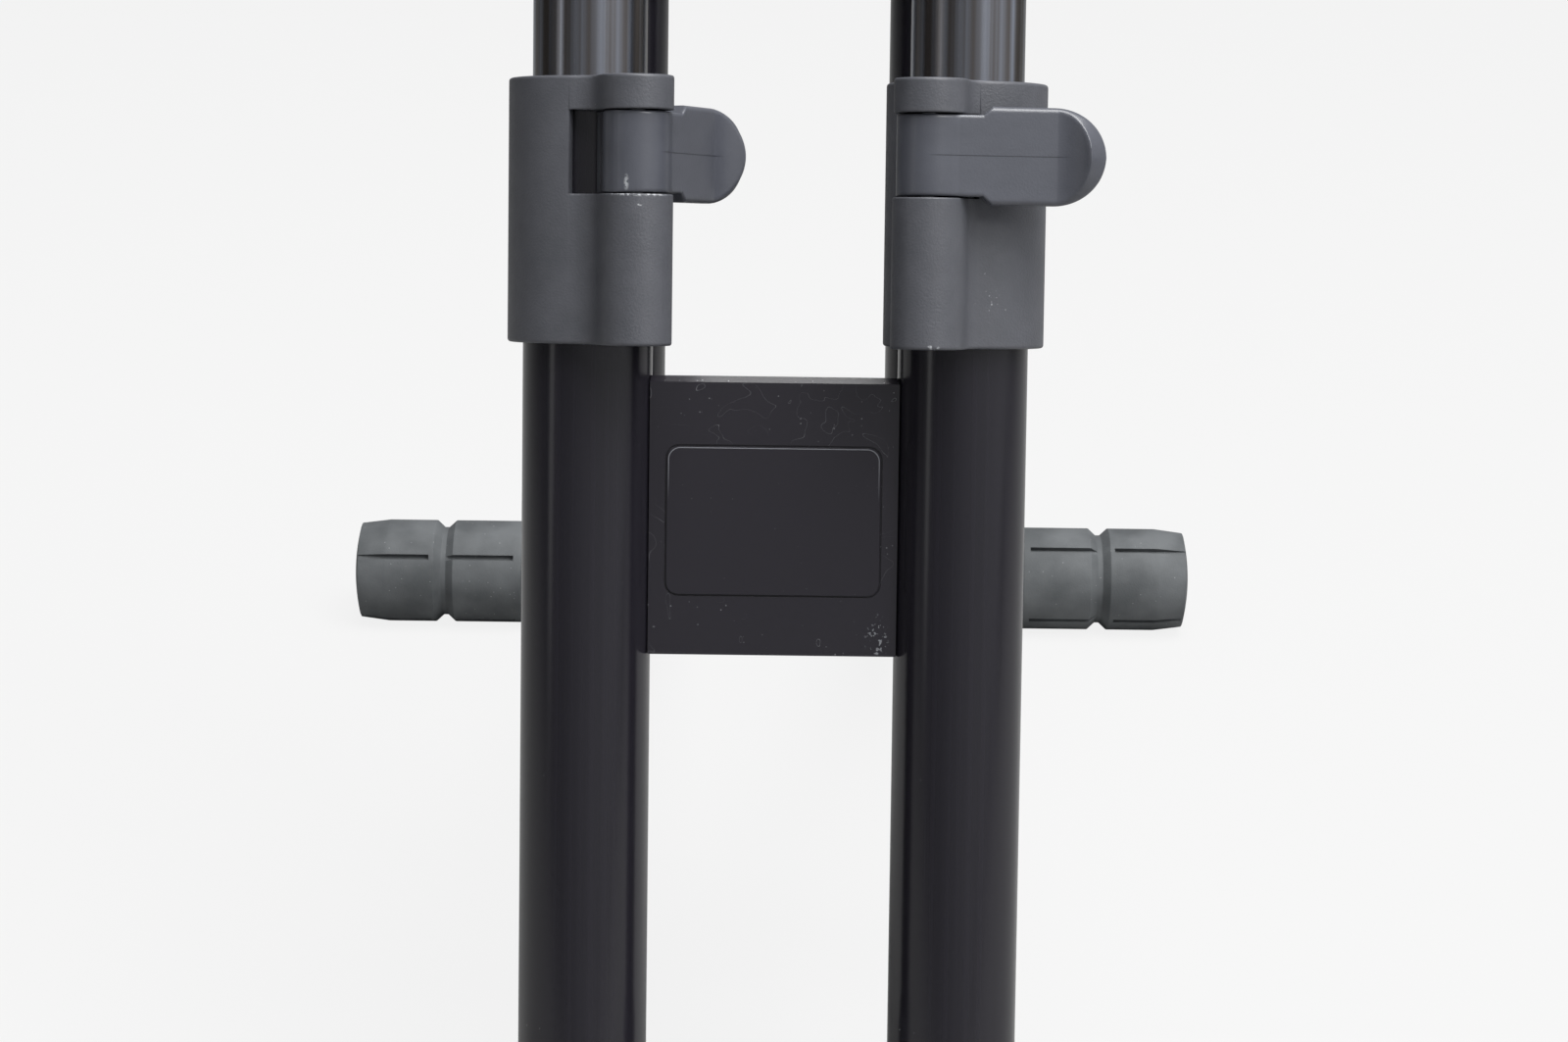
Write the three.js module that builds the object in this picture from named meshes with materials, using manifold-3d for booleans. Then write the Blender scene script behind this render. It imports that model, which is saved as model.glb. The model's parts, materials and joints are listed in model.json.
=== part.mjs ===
// A folding display stand that holds a bicycle by its crank arm.
// Two hoops slide in four fixed tubes that lean back, and each hoop is held by a quick-release clamp.
// A moulded cross bracket joins the fixed tubes and carries a rear leg that folds up behind them.
import * as THREE from 'three';
import { mergeVertices } from 'three/addons/utils/BufferGeometryUtils.js';
import Module from 'manifold-3d';

const wasm = await Module();
wasm.setup();

// Layout: millimetres, and degrees for angles.
const tubeSpacing = 73.4; // left tube axis to right tube axis
const hoopDepth = 73.4; // front tube axis to rear tube axis
const leanAngle = 15; // the tubes lean back from the vertical
const plateRise = 139; // front foot axis to the plate's centre, along the tubes
const hoopRise = 155; // plate's centre to the centre of a hoop's bend
const rearTubeRise = 118; // plate's centre to the top of a rear tube
const rearTubeDrop = 30; // plate's centre to the bottom of a rear tube
const frontLegDrop = 0; // plate's centre to the bottom of a hoop's front leg
const rearLegRise = 20; // plate's centre to the bottom of a hoop's rear leg
const collarRise = 33.5; // plate's centre to the underside of a clamp collar
const hingeReach = 28.6; // rear tube axis back to the fold hinge
const hingeDrop = 8; // plate's centre down to the fold hinge
const legLength = 249.3; // fold hinge to rear foot axis

// Fits
const seatGap = 0.3; // between pieces that touch
const cutOverrun = 2; // how far a cut runs past the face that it opens

// Tubes
const outerDiameter = 25.4;
const outerWall = 1.2;
const hoopDiameter = 22.2;
const hoopWall = 1.5;
const legDiameter = 22.2;
const legWall = 1.5;
const slitWidth = 2.2; // lets a front tube close on its hoop
const slitLength = 40;

// Clamp collar and its lever
const collarHeight = 51;
const collarWall = 2.7;
const collarLip = 2.5; // turned in over the tube's mouth
const windowRise = 28.6; // collar's underside to the window
const windowHeight = 15.9;
const windowAngle = 62; // where the right window ends, round the collar from its front
const pinOffset = 21.1; // tube axis to lever pin
const lobeRadius = 6.9; // of the collar around the pin
const lobeClearance = 10.4; // radius cut clear around the lever's barrel
const leftPinAngle = 28.5; // pin's place round the tube, from the front
const rightPinAngle = -22.5;
const leftLeverAngle = 54.7; // closed lever's direction seen from above, from +X
const rightLeverAngle = 0;
const pinRadius = 1.5;
const pinSeat = 5; // how deep the pin stands in the collar below the window
const pinRecess = 1; // pin's top under the collar's top face
const barrelRadius = 6.4;
const camThrow = 0.4; // barrel's centre off the pin, towards the tube when closed
const neckReach = 10.9; // pin to the step between the neck and the paddle
const leverReach = 33.4; // pin to the paddle's tip
const armSetback = 2.2; // arm's front behind the barrel's
const leverThickness = 4.6;
const paddleHeight = 18.5;
const paddleDroop = 2.4; // how far the paddle's tip bends back towards the tube
const paddleTipThickness = 2.2;
const paddleFrontShare = 0.8; // where the front's bend is strongest, along the lever
const paddleBackShare = 0.7;
const neckDroopShare = 0.125; // of the droop, reached at the step
const shoeThickness = 1;
const shoeWidth = 8.4;

// Cross bracket
const plateHeight = 54.5;
const plateThickness = 4;
const plateProud = 4; // plate's face in front of the tube axes
const plateChamfer = 1.1; // on the front edge of its top
const webDrop = 4.5; // plate's top down to the tops of the pieces behind it
const webThickness = 5;
const saddleReach = 11.5; // saddle's outer edge from the tube axis
const saddleDepth = 19; // saddle's back from the tube axis
const ringWall = 3; // around a rear tube
const crossWebThickness = 4;
const crossWebHeight = 40;
const earRadius = 15.5;
const stopThickness = 4;
const stopLength = 11;
const labelWidth = 41.8;
const labelHeight = 29.1;
const labelCorner = 2.7;
const labelDrop = 0.85; // plate's centre down to the label's centre
const labelThickness = 0.4;
const labelProud = 0.2;
const screwSpread = 32; // between a tube's two bracket screws

// Fold hinge
const boltRadius = 3.9;
const boltHeadRadius = 6.5;
const boltHeadHeight = 3.5;
const boltHeadSides = 6;
const knobRadius = 11;
const knobThickness = 10;
const knobLobes = 5;
const knobLobeDepth = 2.6;
const knobCrown = 2.6; // closed end over the bolt
const knuckleSpigot = 26;
const legSetback = 13.5; // hinge axis to the leg tube's end
const spigotWall = 2.4;

// Feet
const footWidth = 252; // over both caps
const barDiameter = 25.4;
const barWall = 1.5;
const capDiameter = 30.7;
const capLength = 51;
const capEndWall = 3;
const capGrooveReach = 27.3; // groove's middle from the cap's outer end
const capGrooveWidth = 5.9;
const capGrooveFloor = 1.4;
const capGrooveDepth = 2.1;
const capChamfer = 0.8; // at the inner end
const capTaper = 8.4; // length over which the outer end narrows
const capTaperDrop = 1.1;
const capCrown = 1.8; // bulge of the end face
const capCrownShares = [1, 0.92, 0.6, 0];
const capSlots = 4;
const capSlotWidth = 1.8;
const capSlotDepth = 1;
const capSlotMargin = 2.6; // plain rubber at the inner end of a slot
const capSlotAngle = 35.5; // of the first slot above the level, at the front
const soleDepth = 0.5; // flat ground under each cap
const teeWidth = 36;
const teeWall = 1.6; // around the foot bar
const socketWall = 2.7; // around an upright or a leg
const socketDepth = 28.5; // foot axis to the socket's mouth
const socketFloor = 16; // foot axis to the end of the tube in the socket

// Small pieces
const bushSkirt = 10; // rear tube bush, over the tube's mouth
const bushWall = 1.7;
const bushLip = 2;
const plugFlange = 4; // glide plug at a hoop's end
const plugSpigot = 14;
const sleeveWall = 3; // rubber sleeve on a hoop's bend
const screwRadius = 1.9;
const screwHeadRadius = 3.6;
const screwHeadHeight = 2.2;
const screwSlotWidth = 0.9;
const screwSlotDepth = 0.9;

// Facets
const tubeSides = 20;
const hoopSides = 16;
const smallSides = 10;
const arcSteps = 3; // on a lever's curves and on a quarter of a label's corner
const tipSteps = 5; // on a quarter of a paddle's round tip
const bendSteps = 12; // the sleeve leaves the first and the last of them bare

// Worked out from the sizes above
const span = tubeSpacing / 2;
const outerRadius = outerDiameter / 2;
const hoopRadius = hoopDiameter / 2;
const legRadius = legDiameter / 2;
const barRadius = barDiameter / 2;
const capRadius = capDiameter / 2;
const outerSeat = outerRadius + seatGap;
const collarRadius = outerSeat + collarWall;
const collarBase = plateRise + collarRise;
const collarTop = collarBase + collarHeight;
const windowBase = collarBase + windowRise;
const neckHeight = windowHeight - 2 * seatGap;
const footHeight = capRadius - soleDepth;
const hingeSetback = hoopDepth + hingeReach;
const hingeRise = plateRise - hingeDrop;
const earInside = legRadius + seatGap;
const webInner = span - earInside - webThickness;
const webOuter = span - earInside;
const lean = THREE.MathUtils.degToRad(leanAngle);
const hingeY = hingeSetback * Math.cos(lean) + hingeRise * Math.sin(lean);
const hingeZ = footHeight - hingeSetback * Math.sin(lean) + hingeRise * Math.cos(lean);
const legPitch = Math.asin((hingeZ - footHeight) / legLength);

// Finishes
const glossPaint = new THREE.MeshStandardMaterial({ color: 0x1b1b20, roughness: 0.22, metalness: 0.4 });
const hoopPaint = new THREE.MeshStandardMaterial({ color: 0x26262b, roughness: 0.15, metalness: 0.6 });
const glossPlastic = new THREE.MeshStandardMaterial({ color: 0x1d1e22, roughness: 0.3, metalness: 0 });
const satinPlastic = new THREE.MeshStandardMaterial({ color: 0x45474b, roughness: 0.55, metalness: 0 });
const leverPlastic = new THREE.MeshStandardMaterial({ color: 0x3f4148, roughness: 0.45, metalness: 0 });
const labelFilm = new THREE.MeshStandardMaterial({ color: 0x202126, roughness: 0.4, metalness: 0 });
const capRubber = new THREE.MeshStandardMaterial({ color: 0x3a3d3f, roughness: 0.8, metalness: 0 });
const sleeveRubber = new THREE.MeshStandardMaterial({ color: 0x222426, roughness: 0.85, metalness: 0 });
const zincSteel = new THREE.MeshStandardMaterial({ color: 0xb4b6b8, roughness: 0.35, metalness: 1 });

// A closed profile of [radius, height] points turned about Z.
function turned(points, sides) {
  const outline = points.map(([radius, height]) => new THREE.Vector2(radius, height));
  return new THREE.LatheGeometry(outline, sides).rotateX(Math.PI / 2);
}

// A straight pipe about Z.
function pipe(outside, inside, bottom, top, sides = tubeSides) {
  const ring = [[inside, bottom], [outside, bottom], [outside, top], [inside, top], [inside, bottom]];
  return turned(ring, sides);
}

// A solid round bar about Z.
function rod(radius, bottom, top, sides = tubeSides) {
  return turned([[0, bottom], [radius, bottom], [radius, top], [0, top]], sides);
}

// A box given by its two limits on each axis.
function slab([x0, x1], [y0, y1], [z0, z1]) {
  const box = new THREE.BoxGeometry(x1 - x0, y1 - y0, z1 - z0);
  return box.translate((x0 + x1) / 2, (y0 + y1) / 2, (z0 + z1) / 2);
}

// An outline in the XY plane raised from bottom to top.
function raised(shape, bottom, top, curveSegments = smallSides) {
  const options = { depth: top - bottom, bevelEnabled: false, curveSegments };
  return new THREE.ExtrudeGeometry(shape, options).translate(0, 0, bottom);
}

// A closed mesh as a solid that can be joined and cut.
function toSolid(geometry) {
  const bare = geometry.clone();
  bare.deleteAttribute('normal');
  bare.deleteAttribute('uv');
  const merged = mergeVertices(bare);
  const triangles = [];
  for (let i = 0; i < merged.index.count; i += 3) {
    const [a, b, c] = [0, 1, 2].map((k) => merged.index.getX(i + k));
    if (a !== b && b !== c && c !== a) triangles.push(a, b, c);
  }
  const vertProperties = new Float32Array(merged.attributes.position.array);
  const mesh = new wasm.Mesh({ numProp: 3, vertProperties, triVerts: new Uint32Array(triangles) });
  return new wasm.Manifold(mesh);
}

// One mesh from a first piece, the pieces joined to it and the pieces then cut from it.
function worked(first, { joined = [], cut = [], kept = [] }) {
  let solid = toSolid(first);
  for (const geometry of joined) solid = solid.add(toSolid(geometry));
  for (const geometry of cut) solid = solid.subtract(toSolid(geometry));
  for (const geometry of kept) solid = solid.intersect(toSolid(geometry));
  const { vertProperties, triVerts } = solid.getMesh();
  const geometry = new THREE.BufferGeometry();
  geometry.setAttribute('position', new THREE.BufferAttribute(new Float32Array(vertProperties), 3));
  geometry.setIndex(new THREE.BufferAttribute(new Uint32Array(triVerts), 1));
  geometry.computeVertexNormals();
  return geometry;
}

function piece(name, geometry, material) {
  const mesh = new THREE.Mesh(geometry, material);
  mesh.name = name;
  return mesh;
}

// The stand, and inside it the frame that leans back about the front foot's axis, with Z up the tubes.
const stand = new THREE.Group();
const leaning = new THREE.Group();
leaning.position.z = footHeight;
leaning.rotation.x = -lean;
const rearLeg = new THREE.Group();
rearLeg.position.set(0, hingeY, hingeZ);
rearLeg.rotation.x = -legPitch;
stand.add(leaning, rearLeg);
const sides = [['left', -1], ['right', 1]];

// A slotted pan-head screw. Its head's seat is at Z = 0 and its shank runs down.
function screw(shankLength) {
  const crown = screwHeadRadius - screwHeadHeight / 2;
  const body = turned([
    [0, -shankLength], [screwRadius, -shankLength], [screwRadius, 0], [screwHeadRadius, 0],
    [screwHeadRadius, screwHeadHeight / 2], [crown, screwHeadHeight], [0, screwHeadHeight],
  ], smallSides);
  const slotHalf = screwSlotWidth / 2;
  const slotEnd = screwHeadRadius + cutOverrun;
  const slot = slab([-slotEnd, slotEnd], [-slotHalf, slotHalf],
    [screwHeadHeight - screwSlotDepth, screwHeadHeight + cutOverrun]);
  return worked(body, { cut: [slot] });
}

// The hole that a screw stands in, from its seat down.
function screwHole(depth) {
  return rod(screwRadius + seatGap, -depth, cutOverrun, smallSides);
}

// The bracket screws are square to the tubes: the front pair from behind, the rear pair from in front.
const frontSeat = saddleDepth;
const rearSeat = hoopDepth - outerSeat - ringWall - seatGap;
const screwHeights = [plateRise - screwSpread / 2, plateRise + screwSpread / 2];

function placedAtFrontSeats(make, x, z) {
  return make().rotateX(-Math.PI / 2).translate(x, frontSeat, z);
}

function placedAtRearSeats(make, x, z) {
  return make().rotateX(Math.PI / 2).translate(x, rearSeat, z);
}

const screwDepth = frontSeat - outerRadius + outerWall; // from its seat to the tube's bore
const rearScrewDepth = hoopDepth - outerRadius + outerWall - rearSeat;

// A tee that joins an upright or a leg to a foot bar. The bar is on X and the socket opens towards +Z.
const teeRadius = barRadius + seatGap + teeWall;
const teeScrewLift = (socketFloor + socketDepth) / 2;

function tee(tubeRadius) {
  const bore = tubeRadius + seatGap;
  const half = teeWidth / 2;
  const socket = rod(bore + socketWall, 0, socketDepth);
  const saddle = rod(teeRadius, -half, half).rotateY(Math.PI / 2);
  const barHole = rod(barRadius + seatGap, -half - cutOverrun, half + cutOverrun).rotateY(Math.PI / 2);
  const socketHole = rod(bore, socketFloor, socketDepth + cutOverrun);
  return worked(socket, { joined: [saddle], cut: [barHole, socketHole, teeScrewHole(tubeRadius)] });
}

// The screw that holds a tube in its tee, from behind. The tee's round wall is under its head.
function teeScrew(tubeRadius, tubeWall) {
  const seat = tubeRadius + seatGap + socketWall + seatGap;
  return screw(seat - tubeRadius + tubeWall).rotateX(-Math.PI / 2).translate(0, seat, teeScrewLift);
}

function teeScrewHole(tubeRadius) {
  return rod(screwRadius + seatGap, 0, tubeRadius + socketWall + cutOverrun, smallSides)
    .rotateX(-Math.PI / 2).translate(0, 0, teeScrewLift);
}

// Fixed tubes
for (const [side, sign] of sides) {
  const x = sign * span;
  const frontTop = collarTop - collarLip - seatGap;
  const slitHalf = slitWidth / 2;
  const slit = slab([x - slitHalf, x + slitHalf], [0, outerRadius + cutOverrun],
    [frontTop - slitLength, frontTop + cutOverrun]);
  const frontHoles = screwHeights.map((z) => (
    placedAtFrontSeats(() => screwHole(screwDepth + cutOverrun), x, z)));
  const frontTube = worked(
    pipe(outerRadius, outerRadius - outerWall, socketFloor + seatGap, frontTop).translate(x, 0, 0),
    { cut: [slit, ...frontHoles, teeScrewHole(outerRadius).translate(x, 0, 0)] },
  );
  const rearHoles = screwHeights.map((z) => (
    placedAtRearSeats(() => screwHole(rearScrewDepth + cutOverrun), x, z)));
  const rearTube = worked(
    pipe(outerRadius, outerRadius - outerWall, plateRise - rearTubeDrop, plateRise + rearTubeRise)
      .translate(x, hoopDepth, 0),
    { cut: rearHoles },
  );
  leaning.add(piece(`${side}_front_tube`, frontTube, glossPaint));
  leaning.add(piece(`${side}_rear_tube`, rearTube, glossPaint));

  const bushTop = plateRise + rearTubeRise + seatGap + bushLip;
  const skirt = outerSeat + bushWall;
  const bush = turned([
    [outerSeat, bushTop - bushLip - bushSkirt], [skirt, bushTop - bushLip - bushSkirt],
    [skirt, bushTop - bushLip], [skirt - bushLip / 2, bushTop], [hoopRadius + seatGap, bushTop],
    [hoopRadius + seatGap, bushTop - bushLip], [outerSeat, bushTop - bushLip],
    [outerSeat, bushTop - bushLip - bushSkirt],
  ], tubeSides).translate(x, hoopDepth, 0);
  leaning.add(piece(`${side}_rear_bush`, bush, satinPlastic));
}

// A hoop's centre line: up the front leg, over the bend and down the rear leg.
class HoopPath extends THREE.Curve {
  constructor(frontDrop, rearDrop, radius, steps) {
    super();
    Object.assign(this, { frontDrop, rearDrop, radius, steps });
  }

  // One step for each leg, and the rest share the bend.
  getPoint(share, target = new THREE.Vector3()) {
    const step = share * (this.steps + 2);
    if (step < 1) return target.set(0, 0, -this.frontDrop * (1 - step));
    const past = step - this.steps - 1;
    if (past > 0) return target.set(0, 2 * this.radius, -this.rearDrop * past);
    const turn = Math.PI * (step - 1) / this.steps;
    return target.set(0, this.radius * (1 - Math.cos(turn)), this.radius * Math.sin(turn));
  }

  getUtoTmapping(share) {
    return share;
  }
}

// The bend alone, without a margin at its start and end.
class BendPath extends THREE.Curve {
  constructor(margin, radius) {
    super();
    Object.assign(this, { margin, radius });
  }

  getPoint(share, target = new THREE.Vector3()) {
    const turn = this.margin + share * (Math.PI - 2 * this.margin);
    return target.set(0, this.radius * (1 - Math.cos(turn)), this.radius * Math.sin(turn));
  }
}

// A pipe along a path.
function bentPipe(path, steps, outside, inside) {
  const ring = new THREE.Shape().absarc(0, 0, outside, 0, 2 * Math.PI);
  ring.holes.push(new THREE.Path().absarc(0, 0, inside, 0, 2 * Math.PI, true));
  return new THREE.ExtrudeGeometry(ring, { steps, extrudePath: path, curveSegments: hoopSides / 2 });
}

// Hoops, with a rubber sleeve on the bend and a glide plug in each end
const bendCentre = plateRise + hoopRise;
const frontLegEnd = plateRise - frontLegDrop;
const rearLegEnd = plateRise + rearLegRise;

for (const [side, sign] of sides) {
  const x = sign * span;
  const path = new HoopPath(bendCentre - frontLegEnd, bendCentre - rearLegEnd, hoopDepth / 2, bendSteps);
  const hoop = bentPipe(path, bendSteps + 2, hoopRadius, hoopRadius - hoopWall);
  leaning.add(piece(`${side}_hoop`, hoop.translate(x, 0, bendCentre), hoopPaint));

  const bend = new BendPath(Math.PI / bendSteps, hoopDepth / 2);
  const sleeveBore = hoopRadius + seatGap;
  const sleeve = bentPipe(bend, bendSteps - 2, sleeveBore + sleeveWall, sleeveBore);
  leaning.add(piece(`${side}_hoop_sleeve`, sleeve.translate(x, 0, bendCentre), sleeveRubber));

  for (const [end, y, z] of [['front', 0, frontLegEnd], ['rear', hoopDepth, rearLegEnd]]) {
    const spigot = hoopRadius - hoopWall - seatGap;
    const plug = turned([
      [spigot - spigotWall, -plugFlange], [hoopRadius, -plugFlange], [hoopRadius, 0], [spigot, 0],
      [spigot, plugSpigot], [spigot - spigotWall, plugSpigot], [spigot - spigotWall, -plugFlange],
    ], hoopSides).translate(x, y, z - seatGap);
    leaning.add(piece(`${side}_${end}_glide_plug`, plug, satinPlastic));
  }
}

// Quick-release clamps. Each is made with its tube's axis on Z, its front towards -Y and its pin straight
// ahead of the tube, and is then turned to its place.
const pinY = -pinOffset;
const leverBase = windowBase + seatGap;

function clampCollar() {
  const ring = turned([
    [outerSeat, collarBase], [collarRadius, collarBase], [collarRadius, collarTop],
    [hoopRadius + seatGap, collarTop], [hoopRadius + seatGap, collarTop - collarLip],
    [outerSeat, collarTop - collarLip], [outerSeat, collarBase],
  ], tubeSides);
  const lobe = rod(lobeRadius, collarBase, collarTop, tubeSides).translate(0, pinY, 0);
  const bore = rod(outerSeat, collarBase - cutOverrun, collarTop - collarLip, tubeSides);
  const mouth = rod(hoopRadius + seatGap, collarBase, collarTop + cutOverrun, tubeSides);
  const filletHalf = lobeRadius - collarWall;
  const neck = slab([-filletHalf, filletHalf], [pinY, 0], [collarBase, collarTop]);
  const barrelRoom = rod(lobeClearance, windowBase, windowBase + windowHeight).translate(0, pinY, 0);
  const reach = pinOffset + lobeClearance;
  const windowEnd = THREE.MathUtils.degToRad(windowAngle + rightPinAngle);
  const wedge = new THREE.Shape([
    new THREE.Vector2(0, 0),
    new THREE.Vector2(-reach * Math.sin(windowEnd), -reach * Math.cos(windowEnd)),
    new THREE.Vector2(0, -reach),
  ]);
  const window = raised(wedge, windowBase, windowBase + windowHeight);
  const pinHole = rod(pinRadius + seatGap, windowBase - pinSeat - seatGap, collarTop + cutOverrun, smallSides)
    .translate(0, pinY, 0);
  return worked(ring, { joined: [lobe, neck], cut: [bore, mouth, barrelRoom, window, pinHole] });
}

// The lever is closed when it lies across the tube's front. Its neck and paddle point along +X, and its
// outline is seen from above with the pin at the origin. It turns by closedTurn from there to lie closed.
function clampLever(closedTurn) {
  const camX = camThrow * Math.sin(closedTurn);
  const camY = camThrow * Math.cos(closedTurn);
  const top = leverBase + neckHeight / 2 + paddleHeight / 2;
  const bottom = top - paddleHeight;
  const front = armSetback - barrelRadius - camThrow;
  const back = front + leverThickness;
  const tipFront = (front + back) / 2 + paddleDroop - paddleTipThickness / 2;
  const arm = new THREE.Shape();
  arm.moveTo(0, front);
  arm.lineTo(neckReach, front + neckDroopShare * paddleDroop);
  arm.quadraticCurveTo(paddleFrontShare * leverReach, front + paddleDroop / 2, leverReach, tipFront);
  arm.lineTo(leverReach, tipFront + paddleTipThickness);
  arm.quadraticCurveTo(paddleBackShare * leverReach, back, neckReach, back);
  arm.lineTo(0, back);
  const paddleRound = paddleHeight / 2;
  const middle = (top + bottom) / 2;
  const side = new THREE.Shape();
  side.moveTo(-barrelRadius - cutOverrun, leverBase);
  side.lineTo(neckReach, leverBase);
  side.lineTo(neckReach, bottom);
  side.lineTo(leverReach - paddleRound, bottom);
  side.absarc(leverReach - paddleRound, middle, paddleRound, -Math.PI / 2, Math.PI / 2, false);
  side.lineTo(neckReach, top);
  side.lineTo(neckReach, leverBase + neckHeight);
  side.lineTo(-barrelRadius - cutOverrun, leverBase + neckHeight);
  const profile = raised(side, -leverReach, leverReach, tipSteps).rotateX(Math.PI / 2);
  const barrel = rod(barrelRadius, bottom, top).translate(camX, camY, 0);
  const pinHole = rod(pinRadius + seatGap, bottom - cutOverrun, top + cutOverrun, smallSides);
  return worked(barrel, { joined: [raised(arm, bottom, top, arcSteps)], cut: [pinHole], kept: [profile] });
}

function pressureShoe() {
  const bottom = leverBase;
  const top = leverBase + neckHeight;
  const ring = pipe(outerSeat + shoeThickness, outerSeat, bottom, top, 2 * tubeSides);
  const half = shoeWidth / 2;
  return worked(ring, { kept: [slab([-half, half], [-pinOffset, 0], [bottom, top])] });
}

const clampAngles = { left: [leftPinAngle, leftLeverAngle], right: [rightPinAngle, rightLeverAngle] };
for (const [side, sign] of sides) {
  const [pinAngle, leverAngle] = clampAngles[side];
  const closedTurn = THREE.MathUtils.degToRad(leverAngle - pinAngle);
  const clamp = new THREE.Group();
  clamp.position.x = sign * span;
  clamp.rotation.z = THREE.MathUtils.degToRad(pinAngle);
  const pin = rod(pinRadius, windowBase - pinSeat, collarTop - pinRecess, smallSides).translate(0, pinY, 0);
  const lever = piece(`${side}_lever`, clampLever(closedTurn), leverPlastic);
  lever.position.y = pinY;
  lever.rotation.z = closedTurn;
  clamp.add(piece(`${side}_clamp_collar`, clampCollar(), satinPlastic), lever);
  clamp.add(piece(`${side}_lever_pin`, pin, zincSteel));
  clamp.add(piece(`${side}_pressure_shoe`, pressureShoe(), satinPlastic));
  leaning.add(clamp);
}

// Cross bracket. Plate, saddles behind the front tubes, webs, rings round the rear tubes, and hinge ears.
function crossBracket() {
  const plateBottom = plateRise - plateHeight / 2;
  const plateTop = plateRise + plateHeight / 2;
  const height = [plateBottom, plateTop - webDrop];
  const plateBack = plateThickness - plateProud;
  const section = new THREE.Shape([
    new THREE.Vector2(-plateProud, plateBottom), new THREE.Vector2(plateBack, plateBottom),
    new THREE.Vector2(plateBack, plateTop), new THREE.Vector2(plateChamfer - plateProud, plateTop),
    new THREE.Vector2(-plateProud, plateTop - plateChamfer),
  ]);
  const plate = raised(section, -webOuter, webOuter).rotateX(Math.PI / 2).rotateZ(Math.PI / 2);
  const webHalf = crossWebThickness / 2;
  const crossWeb = slab([-webOuter, webOuter], [hoopDepth - webHalf, hoopDepth + webHalf],
    [plateRise - crossWebHeight / 2, plateRise + crossWebHeight / 2]);
  const ringRadius = outerSeat + ringWall;
  const joined = [crossWeb];
  const cut = [];
  for (const [, sign] of sides) {
    const across = (a, b) => [sign * a, sign * b].sort((p, q) => p - q);
    joined.push(slab(across(webInner, webOuter), [plateBack - webHalf, hoopDepth], height));
    joined.push(slab(across(webInner, span + saddleReach), [0, saddleDepth - seatGap], height));
    joined.push(rod(ringRadius, ...height).translate(sign * span, hoopDepth, 0));
    const bossHalf = screwHeadRadius + seatGap;
    joined.push(slab(across(span - bossHalf, span + bossHalf), [rearSeat + seatGap, hoopDepth], height));
    for (const inner of [webInner, span + earInside]) {
      const earHeight = [hingeRise - earRadius, hingeRise + earRadius];
      joined.push(slab(across(inner, inner + webThickness), [hoopDepth, hingeSetback], earHeight));
      joined.push(rod(earRadius, inner, inner + webThickness).rotateY(sign * Math.PI / 2)
        .translate(0, hingeSetback, hingeRise));
    }
    const stop = slab(across(webInner, span + earInside + webThickness), [0, stopLength],
      [-earInside - stopThickness, -earInside]);
    joined.push(stop.rotateX(lean - legPitch).translate(0, hingeSetback, hingeRise));

    cut.push(rod(outerSeat, plateBottom - cutOverrun, plateTop + cutOverrun).translate(sign * span, 0, 0));
    cut.push(rod(outerSeat, plateBottom - cutOverrun, plateTop + cutOverrun)
      .translate(sign * span, hoopDepth, 0));
    cut.push(rod(boltRadius + seatGap, webInner - cutOverrun, span + earInside + webThickness + cutOverrun)
      .rotateY(sign * Math.PI / 2).translate(0, hingeSetback, hingeRise));
    for (const z of screwHeights) {
      cut.push(placedAtFrontSeats(() => screwHole(screwDepth), sign * span, z));
      cut.push(placedAtRearSeats(() => screwHole(rearScrewDepth), sign * span, z));
    }
  }
  const pocketDepth = labelThickness + seatGap - labelProud;
  cut.push(labelOutline(labelWidth / 2 + seatGap, labelHeight / 2 + seatGap, pocketDepth + cutOverrun)
    .translate(0, pocketDepth - plateProud, plateRise - labelDrop));
  return worked(plate, { joined, cut });
}

// A rectangle with round corners standing in the XZ plane. Its back is at Y = 0 and it is thick towards -Y.
function labelOutline(halfWidth, halfHeight, thickness) {
  const outline = new THREE.Shape();
  const cornerX = halfWidth - labelCorner;
  const cornerY = halfHeight - labelCorner;
  outline.absarc(cornerX, cornerY, labelCorner, 0, Math.PI / 2);
  outline.absarc(-cornerX, cornerY, labelCorner, Math.PI / 2, Math.PI);
  outline.absarc(-cornerX, -cornerY, labelCorner, Math.PI, 3 * Math.PI / 2);
  outline.absarc(cornerX, -cornerY, labelCorner, 3 * Math.PI / 2, 2 * Math.PI);
  return raised(outline, 0, thickness, arcSteps).rotateX(Math.PI / 2);
}

leaning.add(piece('cross_bracket', crossBracket(), glossPlastic));
const labelBack = labelThickness - labelProud - plateProud;
const label = labelOutline(labelWidth / 2, labelHeight / 2, labelThickness)
  .translate(0, labelBack, plateRise - labelDrop);
leaning.add(piece('blank_label', label, labelFilm));

for (const [side, sign] of sides) {
  for (const [level, z] of [['lower', screwHeights[0]], ['upper', screwHeights[1]]]) {
    const frontScrew = placedAtFrontSeats(() => screw(screwDepth - seatGap), sign * span, z);
    const rearScrew = placedAtRearSeats(() => screw(rearScrewDepth - seatGap), sign * span, z);
    leaning.add(piece(`${side}_front_${level}_screw`, frontScrew, zincSteel));
    leaning.add(piece(`${side}_rear_${level}_screw`, rearScrew, zincSteel));
  }
}

// Hinge bolts go in from the outside, and a lobed knob on each inner end clamps the ears on the leg.
const boltSeat = span + earInside + webThickness + seatGap;
const knobSeat = webInner - seatGap;

function hingeBolt() {
  const shankEnd = knobSeat - knobThickness + knobCrown + seatGap;
  const shank = rod(boltRadius, shankEnd, boltSeat + boltHeadHeight / 2);
  const head = rod(boltHeadRadius, boltSeat, boltSeat + boltHeadHeight, boltHeadSides);
  return worked(head, { joined: [shank] });
}

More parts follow.
